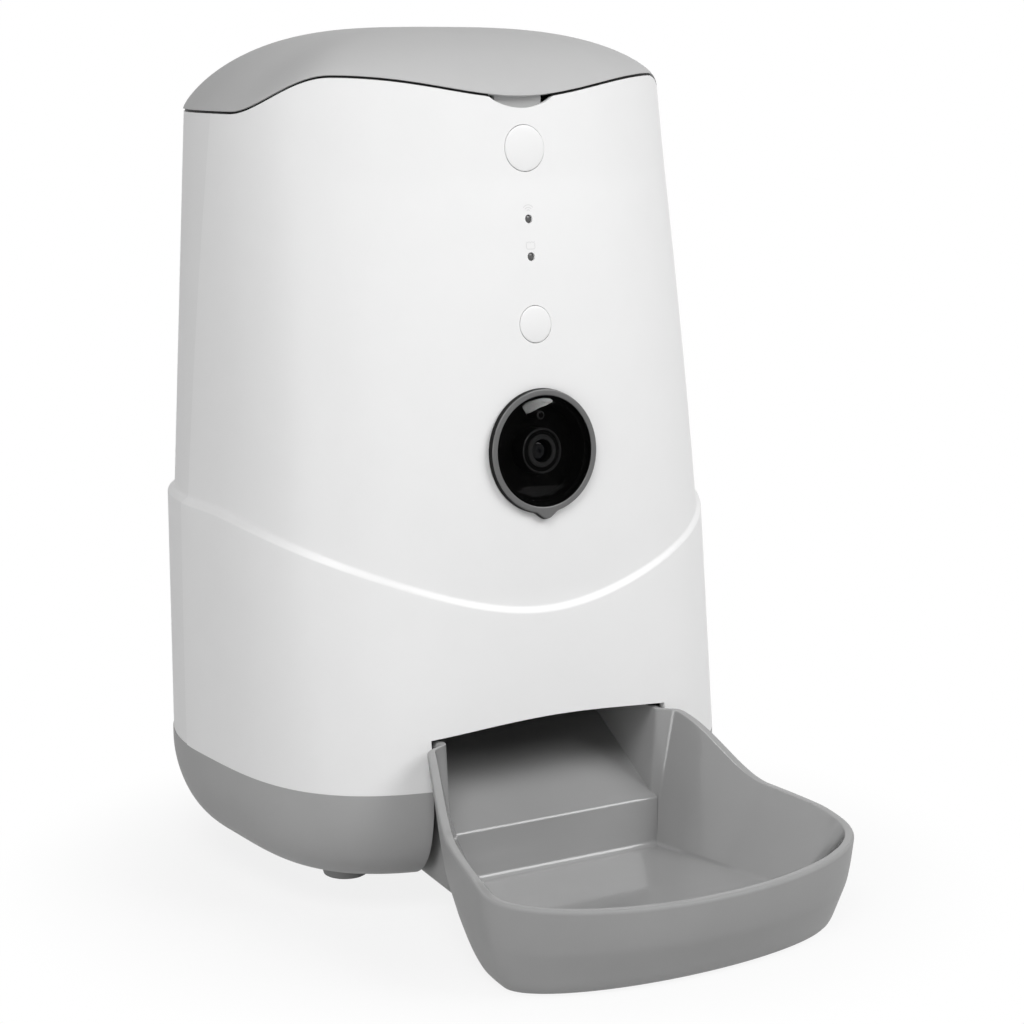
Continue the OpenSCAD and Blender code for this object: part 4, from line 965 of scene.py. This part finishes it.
class FEEDER_OT_bowl(bpy.types.Operator):
    """Build the food bowl with its rounded rim, ledge and ramp"""
    bl_idname = "feeder.bowl"
    bl_label = "Food bowl"

    def execute(self, context):
        scene = context.scene
        bowl = scene.feeder_bowl
        shape = BowlShape(bowl, scene.feeder_body)
        bm = bmesh.new()
        stations = shape.stations()
        run = [(-1, s) for s in stations] + [(1, s) for s in stations[-2::-1]]
        sections = [self.section(shape, station, side) for side, station in run]
        loft(bm, list(zip(*sections)))
        bmesh.ops.remove_doubles(bm, verts=bm.verts[:], dist=1e-6)
        open_end = [e for e in bm.edges if e.is_boundary]
        bmesh.ops.edgenet_fill(bm, edges=open_end)
        bmesh.ops.recalc_face_normals(bm, faces=bm.faces[:])
        paint(bm, lambda f: f.normal.z >= -0.1
              and f.normal.dot(shape.outward(f.calc_center_median())) <= FACING)
        self.ramp(bm, bowl, shape)
        piece("food_bowl", bm, bowl_finishes(scene), "bowl", ["bowl"])
        return {"FINISHED"}

    def section(self, shape, station, side):
        """Line over one side's section at a station, from the keel round the wall to the bed's middle."""
        bowl = shape.bowl
        y = shape.depth(station)
        rim, low = shape.rim_z(y), shape.low_z(y)
        in_body = y > shape.rebate_y - 1e-5
        middle = lerp(low, rim, 0.5)
        under, roof = shape.hollow(station)
        edge, bed = shape.bed(y)
        flared = ease((shape.ledge_y - y) / 0.03)
        foot = lerp(0.004 + shape.shoulder(y), 0.009, flared)
        crease, brow = lerp(0.5 * foot, 0.0025, flared), lerp(0.25 * foot, 0.0012, flared)
        if in_body:
            groove, groove_z, tight = 0.006, 0.0195, 0.0004
            flank = [((groove, low), tight), ((groove, groove_z), tight), ((0, groove_z), tight)]
        else:
            flank = [((foot, low), lerp(0.002, 0.0055, flared)), ((crease, middle), 0.002),
                     ((brow, lerp(middle, rim, 0.4)), 0.003)]
        corners = [((under + 0.0001, roof), 0.0006), ((under, low), 0.0006), *flank,
                   ((0, rim), bowl.rim_round), ((bowl.wall, rim), bowl.lip_round), ((edge, bed), 0.0016)]
        run_on = 0.02
        places = [(under + run_on, roof), *[place for place, _ in corners], (edge + run_on, bed)]
        line = rounded(places, [r for _, r in corners], 4)
        points = [shape.point(station, inset, z, side) for inset, z in line]
        return [Vector((0, station[0], roof)), *points[1:-1], Vector((0, station[0], bed))]

    def ramp(self, bm, bowl, shape):
        """Step, ledge and ramp between the side walls."""
        half = shape.neck_half - bowl.wall / 2
        top = bowl.rim_neck_z - 0.006
        landing = min(shape.back_y - 0.001, shape.ledge_y + (top - bowl.ledge_z) / bowl.ramp_slope)
        toe = shape.step_y - 0.004
        lift, sunk, thick, lean = 0.00003, 0.002, bowl.wall + 0.002, 0.0034
        rear = shape.back_y + 0.0002
        heel = shape.ramp_hollow_y
        line = ((toe, bowl.floor_z - sunk), (toe, bowl.floor_z + lift), (shape.step_y, bowl.floor_z + lift),
                (shape.ledge_y, bowl.ledge_z), (landing, top), (rear, top), (rear, top - thick),
                (landing, top - thick), (heel, shape.ramp_z(heel) - thick), (heel, bowl.floor_z - sunk))
        faces = prism(bm, [(-half, y, z) for y, z in line], (1, 0, 0), 2 * half)
        for v in {v for f in faces for v in f.verts}:
            drop = (bowl.rim_neck_z - v.co.z) / (bowl.rim_neck_z - bowl.floor_z)
            v.co.x *= 1 - drop * lean / half
        edges = {e for f in faces for e in f.edges}
        for (y, z), offset in ((line[2], 0.002), (line[3], 0.0007), (line[4], 0.006)):
            across = [e for e in edges if e.is_valid
                      and all(abs(v.co.y - y) < 1e-6 and abs(v.co.z - z) < 1e-6 for v in e.verts)]
            soften(bm, across, offset, 4)


class FEEDER_OT_camera(bpy.types.Operator):
    """Build the camera: bezel with its drop tab, window, lens barrel, lens and light sensor"""
    bl_idname = "feeder.camera"
    bl_label = "Camera"

    def execute(self, context):
        scene = context.scene
        body, panel = scene.feeder_body, scene.feeder_panel
        place = front_frame(body, panel.camera_z)
        self.bezel(scene, panel, place)
        self.window(panel, place)
        self.lens(panel, place)
        return {"FINISHED"}

    def outline(self, panel, grow):
        """Round outline with a soft drop-shaped tab at its foot."""
        tab_half, tab_drop = math.radians(13.5), 0.0022
        points = []
        for a in spaced(0, 2 * math.pi, 192)[:-1]:
            t = turn(a) / tab_half
            tab = tab_drop * math.cos(math.pi / 2 * t) ** 2 if t < 1 else 0.0
            r = panel.bezel_width / 2 + grow + tab
            points.append((r * math.sin(a), -r * math.cos(a)))
        return points

    def bezel(self, scene, panel, place):
        bm = bmesh.new()
        top, seat = panel.bezel_proud, 0.00015
        inner = panel.window_width / 2
        outline, skirt = self.outline(panel, -0.0006), self.outline(panel, -0.0002)
        circle = [(inner * math.sin(a), -inner * math.cos(a)) for a in spaced(0, 2 * math.pi, 192)[:-1]]
        rows = [[(x, y, seat) for x, y in circle], [(x, y, seat) for x, y in skirt],
                [(x, y, top) for x, y in outline], [(x, y, top) for x, y in circle],
                [(x, y, top - 0.0018) for x, y in circle]]
        chains = loft(bm, rows, True)
        bmesh.ops.bridge_loops(bm, edges=chains[0] + chains[-1])
        bmesh.ops.recalc_face_normals(bm, faces=bm.faces[:])
        for edges, offset in ((chains[2], 0.0004), (chains[3], 0.0005)):
            soften(bm, [e for e in edges if e.is_valid], offset, 3)
        paint(bm, lambda f: f.normal.z > FACING)
        tube = self.tube(bm, panel)
        for f in tube:
            f.material_index = 1
        bmesh.ops.transform(bm, matrix=place, verts=bm.verts[:])
        grey = finish("satin bezel grey", scene.feeder_finish.bezel, 0.28, 1500, 0.00001, 0.02)
        piece("camera_bezel_ring", bm, [grey, black_finish()], "housing", ["camera_bezel"])

    def tube(self, bm, panel):
        """Tube of the bezel through the shell, round the camera's parts."""
        outer = panel.window_width / 2 + 0.0001
        inner = outer - 0.002
        hole = panel.lens_width / 2 + 0.0002
        return lathe(bm, [(inner, -0.012), (outer, -0.012), (outer, 0.0004), (inner, 0.0004), (inner, -0.007),
                          (hole, -0.007), (hole, -0.008), (inner, -0.008)], Matrix(), 96, True)

    def window(self, panel, place):
        bm = bmesh.new()
        r, top = panel.window_width / 2 - 0.0001, panel.bezel_proud - 0.0004
        thick, lip = 0.0014, 0.0002
        low = top - thick
        lathe(bm, [(0, low), (r, low), (r, top - lip), (r - lip, top), (0, top)], Matrix(), 128)
        paint(bm, lambda f: f.normal.z > 0.5)
        bmesh.ops.transform(bm, matrix=place, verts=bm.verts[:])
        smoke, clear = (0.002, 0.002, 0.002), 0.4
        front = finish("smoked window", smoke, 0, 900, 0, 0.1, Alpha=clear, IOR=1.42)
        rear = finish("smoked window, rear", smoke, 0.5, 900, 0, 0.1, Alpha=clear, Specular_IOR_Level=0.0)
        piece("camera_window_pane", bm, [front, rear], "housing", ["camera_window"])

    def lens(self, panel, place):
        grey = finish("lens ring grey", (0.09, 0.09, 0.09), 0.35, 1500, 0.00001, 0.05)
        r, ring, bore = panel.lens_width / 2, 0.006, 0.0042
        board_z, face, seat = -0.0104, 0.0004, -0.004
        bm = bmesh.new()
        lathe(bm, [(0, board_z), (r, board_z), (r, 0.0001), (r - 0.0003, face), (r - 0.0005, face),
                   (r - 0.0008, -0.0002), (ring, -0.0002), (ring - 0.0002, face), (bore + 0.0002, face),
                   (bore, 0.0001), (bore, seat), (0, seat)], Matrix(), 96)
        paint(bm, lambda f: f.normal.z > FACING
              and (bore < from_middle(f) < ring or from_middle(f) > r - 0.0009))
        bmesh.ops.transform(bm, matrix=place, verts=bm.verts[:])
        piece("camera_lens_barrel", bm, [grey, black_finish()], "housing", ["lens_barrel"])
        bm = bmesh.new()
        inside = bore - 0.0001
        dome = [(inside * math.cos(t), -0.0026 + 0.0012 * math.sin(t)) for t in spaced(0, math.pi / 2, 12)]
        lathe(bm, [(0, seat), (inside, seat)] + dome, place, 64)
        glass = finish("coated lens glass", (0.004, 0.005, 0.01), 0.02, 900, 0, 0.1, Coat_Weight=0.6)
        piece("camera_lens_glass", bm, [glass], "housing", ["lens_glass"])
        bm = bmesh.new()
        up = place @ Matrix.Translation((0, 0.013, 0))
        lathe(bm, [(0, board_z), (0.0016, board_z), (0.0016, 0.0001), (0.0013, face), (0.001, face),
                   (0.0008, 0), (0, 0)], Matrix(), 48)
        paint(bm, lambda f: f.normal.z > FACING and from_middle(f) > 0.0009)
        bmesh.ops.transform(bm, matrix=up, verts=bm.verts[:])
        piece("camera_light_sensor", bm, [grey, black_finish()], "housing", ["light_sensor"])


class FEEDER_OT_buttons(bpy.types.Operator):
    """Build the feed button and the function button"""
    bl_idname = "feeder.buttons"
    bl_label = "Buttons"

    def execute(self, context):
        scene = context.scene
        body, panel = scene.feeder_body, scene.feeder_panel
        back, lug, wall_in, stem = -0.0045, 0.0012, -0.0029, -0.0083
        for node, z, width in (("feed_button", panel.feed_z, panel.feed_width),
                               ("function_button", panel.function_z, panel.function_width)):
            bm = bmesh.new()
            place = front_frame(body, z)
            r = width / 2
            dome = [(r * math.cos(t), 0.0001 + 0.0005 * math.sin(t)) for t in spaced(0, math.pi / 2, 14)]
            lathe(bm, [(0, stem), (0.0025, stem), (0.0025, back), (r, back)] + dome, Matrix(), 96)
            for x in (-r, r):
                block(bm, (x - 0.003, -0.003, wall_in - lug), (x + 0.003, 0.003, wall_in), 0.0002)
            bmesh.ops.transform(bm, matrix=place, verts=bm.verts[:])
            piece(f"{node}_cap", bm, [shell_finish(scene)], node, [node])
        return {"FINISHED"}


class FEEDER_OT_lights(bpy.types.Operator):
    """Build the two indicator lights and the faint signs above them"""
    bl_idname = "feeder.lights"
    bl_label = "Lights and signs"

    def execute(self, context):
        scene = context.scene
        body, panel = scene.feeder_body, scene.feeder_panel
        bm = bmesh.new()
        r = panel.light_width / 2
        for z in (panel.upper_light_z, panel.lower_light_z):
            dome = [(r * math.cos(t), -0.0009 + 0.0004 * math.sin(t)) for t in spaced(0, math.pi / 2, 8)]
            collar = [(r, -0.0045), (r + 0.001, -0.0045), (r + 0.001, -0.0029), (r, -0.0029)]
            lathe(bm, [(0, -0.0126), (r, -0.0126)] + collar + dome, front_frame(body, z), 48)
        pipe = finish("smoked light guide", (0.09, 0.09, 0.09), 0.15, 1500, 0, 0.1)
        piece("indicator_lights", bm, [pipe], "housing", ["light_pipes"])
        bm = bmesh.new()
        self.wave_sign(bm, front_frame(body, 0.2521))
        self.bowl_sign(bm, front_frame(body, 0.2394))
        ink = finish("pale grey print", (0.7, 0.7, 0.7), 0.5, 1500, 0.00001, 0.02)
        piece("indicator_signs", bm, [ink], "housing", weighted=False)
        return {"FINISHED"}

    def stroke(self, bm, place, points, width):
        """Flat line a hair above the shell."""
        lift = 0.00002
        sides = ([], [])
        for i, (x, y) in enumerate(points):
            before, after = points[max(0, i - 1)], points[min(len(points) - 1, i + 1)]
            along = Vector((after[0] - before[0], after[1] - before[1], 0)).normalized()
            across = Vector((-along.y, along.x, 0)) * width / 2
            for row, sign in zip(sides, (-1, 1)):
                row.append(place @ (Vector((x, y, lift)) + across * sign))
        loft(bm, sides)

    def wave_sign(self, bm, place):
        for r in (0.0008, 0.0017, 0.0026):
            arc = [(r * math.sin(a), r * math.cos(a) - 0.0008) for a in spaced(-0.9, 0.9, 20)]
            self.stroke(bm, place, arc, 0.0003)

    def bowl_sign(self, bm, place):
        half, low, high, r = 0.0018, -0.0013, 0.0009, 0.0006
        right = [(half - r + r * math.sin(a), low + r - r * math.cos(a)) for a in spaced(0, math.pi / 2, 8)]
        line = right + [(half, high)]
        self.stroke(bm, place, [(-x, y) for x, y in reversed(line)] + line, 0.0003)
        heap = [(x, high + 0.0004 * abs(math.sin(x / half * math.pi * 1.5)))
                for x in spaced(-half, half, 30)]
        self.stroke(bm, place, heap, 0.00025)


class FEEDER_OT_feet(bpy.types.Operator):
    """Build the four rubber feet"""
    bl_idname = "feeder.feet"
    bl_label = "Rubber feet"

    def execute(self, context):
        scene = context.scene
        bm = bmesh.new()
        for x, y in FOOT_PLACES:
            place = Matrix.Translation((x, ORIGIN_Y + y, 0))
            lathe(bm, [(0, 0.0006), (0.0055, 0.0006), (0.006, 0), (0.0075, 0), (0.0082, 0.0004),
                       (0.0085, 0.0012), (0.0085, 0.006), (0, 0.006)], place, 64)
        rubber = finish("soft grey rubber", scene.feeder_finish.rubber, 0.7, 900, 0.00005, 0.04)
        piece("soft_feet", bm, [rubber], "housing", ["rubber_feet"])
        return {"FINISHED"}


class FEEDER_OT_inside(bpy.types.Operator):
    """Give the parts inside their finishes"""
    bl_idname = "feeder.inside"
    bl_label = "Inner parts"

    def execute(self, context):
        plastic = finish("smoky hopper plastic", (0.07, 0.07, 0.075), 0.35, 900, 0.00003, 0.02)
        wheel = finish("soft dosing rubber", (0.1, 0.1, 0.105), 0.6, 900, 0.00006, 0.05)
        steel = finish("turned steel", (0.6, 0.6, 0.6), 0.3, 2500, 0.00002, 0.05, Metallic=1.0)
        brass = finish("sintered brass", (0.62, 0.46, 0.2), 0.35, 2500, 0.00002, 0.06, Metallic=1.0)
        gear = finish("white gear plastic", (0.75, 0.74, 0.7), 0.4, 900, 0.00002, 0.02)
        board = finish("green circuit board", (0.02, 0.11, 0.045), 0.35, 400, 0.00004, 0.15)
        sachet = finish("paper sachet", (0.72, 0.7, 0.62), 0.8, 500, 0.0001, 0.06)
        seal = finish("black silicone seal", (0.02, 0.02, 0.02), 0.6, 700, 0.00004, 0.03)
        liner = finish("dark lid liner", (0.05, 0.05, 0.05), 0.45, 1200, 0.00003, 0.015)
        dark = finish("dark chute plastic", (0.02, 0.02, 0.02), 0.5, 1200, 0.00003, 0.03)
        looks = {
            "hopper": plastic, "dosing_chamber": plastic, "outlet_funnel": dark, "drive_deck": dark,
            "lid_liner": liner, "desiccant_box": liner, "lid_seal": seal, "desiccant_pack": sachet,
            "dosing_wheel": wheel, "dosing_shaft": steel, "hinge_pin": steel, "gear_motor": steel,
            "base_screws": steel, "drive_gear": gear, "shaft_bush": brass, "motor_pinion": brass,
            "camera_board": board, "button_board": board, "main_board": board,
            "speaker": black_finish(), "power_socket": black_finish(),
        }
        for node, look in looks.items():
            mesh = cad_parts[node].data
            mesh.materials.clear()
            mesh.materials.append(look)
        return {"FINISHED"}


class FEEDER_OT_stage(bpy.types.Operator):
    """Set up the floor, the lamps, the world and the camera"""
    bl_idname = "feeder.stage"
    bl_label = "Studio"

    def execute(self, context):
        scene = context.scene
        stage = scene.feeder_stage
        scene.view_settings.view_transform = "Standard"
        self.world(scene, stage)
        self.floor(scene, stage)
        self.lamp(scene, "key lamp", (1.1, -1.2, 1.35), (0, 0, 0.12), 1.1, stage.key)
        self.lamp(scene, "fill lamp", (-0.9, -1.0, 1.6), (0, 0, 0.12), 0.9, stage.fill)
        self.lamp(scene, "side lamp", (-1.7, -0.6, 0.25), (0, 0, 0.15), 0.8, stage.side)
        # Painted reflections: glowing cards that only mirrors show.
        self.painted_reflections(scene, scene.feeder_body, scene.feeder_panel, stage)
        self.camera(scene, stage)
        return {"FINISHED"}

    def world(self, scene, stage):
        world = bpy.data.worlds.new("white studio")
        scene.world = world
        world.use_nodes = True
        tree = world.node_tree
        back = tree.nodes["Background"]
        set_sockets(back, Color=(1, 1, 1, 1))
        level = add_node(tree.nodes, "ShaderNodeMapRange", To_Min=stage.ambient)
        wire(tree, (self.shown(tree), 0, level, "Value"), (level, "Result", back, "Strength"))

    def shown(self, tree):
        """Node that gives 1 to rays that show the studio: to the eye, in a mirror or through glass."""
        rays = add_node(tree.nodes, "ShaderNodeLightPath")
        mirrored = add_node(tree.nodes, "ShaderNodeMath", "MAXIMUM")
        shown = add_node(tree.nodes, "ShaderNodeMath", "MAXIMUM")
        wire(tree, (rays, "Is Glossy Ray", mirrored, 0), (rays, "Is Transmission Ray", mirrored, 1),
             (rays, "Is Camera Ray", shown, 0), (mirrored, 0, shown, 1))
        return shown

    def flat(self, scene, name, bm, material):
        """Object for the stage from a mesh."""
        mesh = bpy.data.meshes.new(name)
        bm.to_mesh(mesh)
        bm.free()
        mesh.materials.append(material)
        made = bpy.data.objects.new(name, mesh)
        scene.collection.objects.link(made)
        return made

    def floor(self, scene, stage):
        bm = bmesh.new()
        bmesh.ops.create_grid(bm, x_segments=1, y_segments=1, size=4)
        floor = self.flat(scene, "studio_floor", bm, self.paper(stage))

    def paper(self, stage):
        """White paper that keeps a faint shadow near the feeder and is plain white further off."""
        near, far = 0.1, 0.2
        paper = finish("studio paper", stage.floor, 0.9, 300, 0.00002, 0.002)
        tree = paper.node_tree
        nodes = tree.nodes
        where = add_node(nodes, "ShaderNodeTexCoord")
        away = add_node(nodes, "ShaderNodeVectorMath", "LENGTH")
        fade = add_node(nodes, "ShaderNodeMapRange", From_Min=near, From_Max=far, To_Min=1 - stage.shadow)
        fade.interpolation_type = "SMOOTHSTEP"
        seen = add_node(nodes, "ShaderNodeMath", "MULTIPLY")
        white = add_node(nodes, "ShaderNodeEmission")
        blend = add_node(nodes, "ShaderNodeMixShader")
        wire(tree, (where, "Object", away, 0), (away, "Value", fade, "Value"), (fade, "Result", seen, 0),
             (self.shown(tree), 0, seen, 1), (seen, 0, blend, "Fac"),
             (nodes["Principled BSDF"], "BSDF", blend, 1), (white, "Emission", blend, 2),
             (blend, "Shader", nodes["Material Output"], "Surface"))
        return paper

    def lamp(self, scene, name, at, aim, width, power):
        data = bpy.data.lights.new(name, "AREA")
        data.shape = "SQUARE"
        data.size = width
        data.energy = power
        made = bpy.data.objects.new(name, data)
        made.location = at
        made.rotation_mode = "QUATERNION"
        made.rotation_quaternion = (Vector(aim) - Vector(at)).to_track_quat("-Z", "Y")
        scene.collection.objects.link(made)

    def painted_reflections(self, scene, body, panel, stage):
        """Glowing cards that only mirror rays see, placed where the window mirrors them: a painted reflection
        from a bright one and a dim one, and a dark one behind them that paints the rest of the reflection
        dark.
        """
        far = 0.5
        bright = ((-9.0, 17.0), (-7.3, 13.8), (-1.6, 15.6), (3.9, 17.4), (4.3, 18.0), (3.3, 18.9),
                  (0.9, 19.2), (-3.3, 18.9), (-6.1, 18.1))
        dim = ((-12.6, -13.8), (-9.0, -12.2), (9.2, -12.9), (2.5, -16.0), (-5.1, -16.3))
        dark = ((-34, -34), (34, -34), (34, 34), (-34, 34))
        for name, strengths, away, corners in (("painted_bright_reflection", (7.5, 24.0), far, bright),
                                               ("painted_dim_reflection", (0.7, 0.4), far, dim),
                                               ("painted_dark_reflection", (0.0, 0.0), far + 0.02, dark)):
            bm = bmesh.new()
            points = [self.mirrored(body, panel, stage, x / 1000, y / 1000, away) for x, y in corners]
            bmesh.ops.contextual_create(bm, geom=chain(bm, points, True))
            paper = self.reflection_glow(name, strengths, points[0], points[len(points) // 2])
            card = self.flat(scene, name, bm, paper)
            # Seen only in mirror rays: the cards paint reflections and light nothing.
            card.visible_camera = False
            card.visible_diffuse = False
            card.visible_shadow = False
            card.visible_transmission = False

    def mirrored(self, body, panel, stage, x, y, away):
        """Where the camera's ray to a place on the window ends up, a distance past the mirror."""
        place = front_frame(body, panel.camera_z)
        point = place @ Vector((x, y, panel.bezel_proud - 0.0004))
        normal = place.to_3x3() @ Vector((0, 0, 1))
        ray = (point - Vector(stage.camera_at)).normalized()
        return point + ray.reflect(normal) * away

    def reflection_glow(self, name, strengths, start, end):
        """Glowing paper for a painted reflection, whose strength changes evenly between two places."""
        paper = bpy.data.materials.new(name)
        paper.use_nodes = True
        tree = paper.node_tree
        nodes = tree.nodes
        where = add_node(nodes, "ShaderNodeTexCoord")
        offset = add_node(nodes, "ShaderNodeVectorMath", "SUBTRACT")
        offset.inputs[1].default_value = start
        along = add_node(nodes, "ShaderNodeVectorMath", "DOT_PRODUCT")
        along.inputs[1].default_value = (end - start) / (end - start).length_squared
        level = add_node(nodes, "ShaderNodeMapRange", To_Min=strengths[0], To_Max=strengths[1])
        glow = add_node(nodes, "ShaderNodeEmission")
        wire(tree, (where, "Object", offset, 0), (offset, 0, along, 0), (along, "Value", level, "Value"),
             (level, "Result", glow, "Strength"), (glow, "Emission", nodes["Material Output"], "Surface"))
        return paper

    def camera(self, scene, stage):
        data = bpy.data.cameras.new("photo camera")
        data.sensor_width = 36
        data.lens = stage.lens
        data.shift_x, data.shift_y = stage.shift
        made = bpy.data.objects.new("photo_camera", data)
        made.location = stage.camera_at
        made.rotation_mode = "QUATERNION"
        made.rotation_quaternion = (-Vector(stage.camera_back)).to_track_quat("-Z", "Y")
        scene.collection.objects.link(made)
        scene.camera = made


class FEEDER_PT_sidebar(bpy.types.Panel):
    """Lists the feeder's pieces"""
    bl_idname = "FEEDER_PT_sidebar"
    bl_label = "Pet feeder"
    bl_space_type = "VIEW_3D"
    bl_region_type = "UI"
    bl_category = "Feeder"

    def draw(self, context):
        for operator in OPERATORS:
            self.layout.operator(operator.bl_idname)


GROUPS = {"feeder_body": FeederBody, "feeder_lid": FeederLid, "feeder_bowl": FeederBowl,
          "feeder_panel": FeederPanel, "feeder_finish": FeederFinish, "feeder_stage": FeederStage}
OPERATORS = (FEEDER_OT_shells, FEEDER_OT_base, FEEDER_OT_lid, FEEDER_OT_bowl, FEEDER_OT_camera,
             FEEDER_OT_buttons, FEEDER_OT_lights, FEEDER_OT_feet, FEEDER_OT_inside, FEEDER_OT_stage)


def register():
    for group in GROUPS.values():
        bpy.utils.register_class(group)
    for label, group in GROUPS.items():
        setattr(bpy.types.Scene, label, PointerProperty(type=group))
    for made in (*OPERATORS, FEEDER_PT_sidebar):
        bpy.utils.register_class(made)


def unregister():
    for made in (FEEDER_PT_sidebar, *reversed(OPERATORS)):
        bpy.utils.unregister_class(made)
    for label, group in GROUPS.items():
        delattr(bpy.types.Scene, label)
        bpy.utils.unregister_class(group)


def main():
    register()
    bpy.ops.feeder.shells()
    bpy.ops.feeder.base()
    bpy.ops.feeder.lid()
    bpy.ops.feeder.bowl()
    bpy.ops.feeder.camera()
    bpy.ops.feeder.buttons()
    bpy.ops.feeder.lights()
    bpy.ops.feeder.feet()
    bpy.ops.feeder.inside()
    bpy.ops.feeder.stage()


if __name__ == "__main__":
    main()
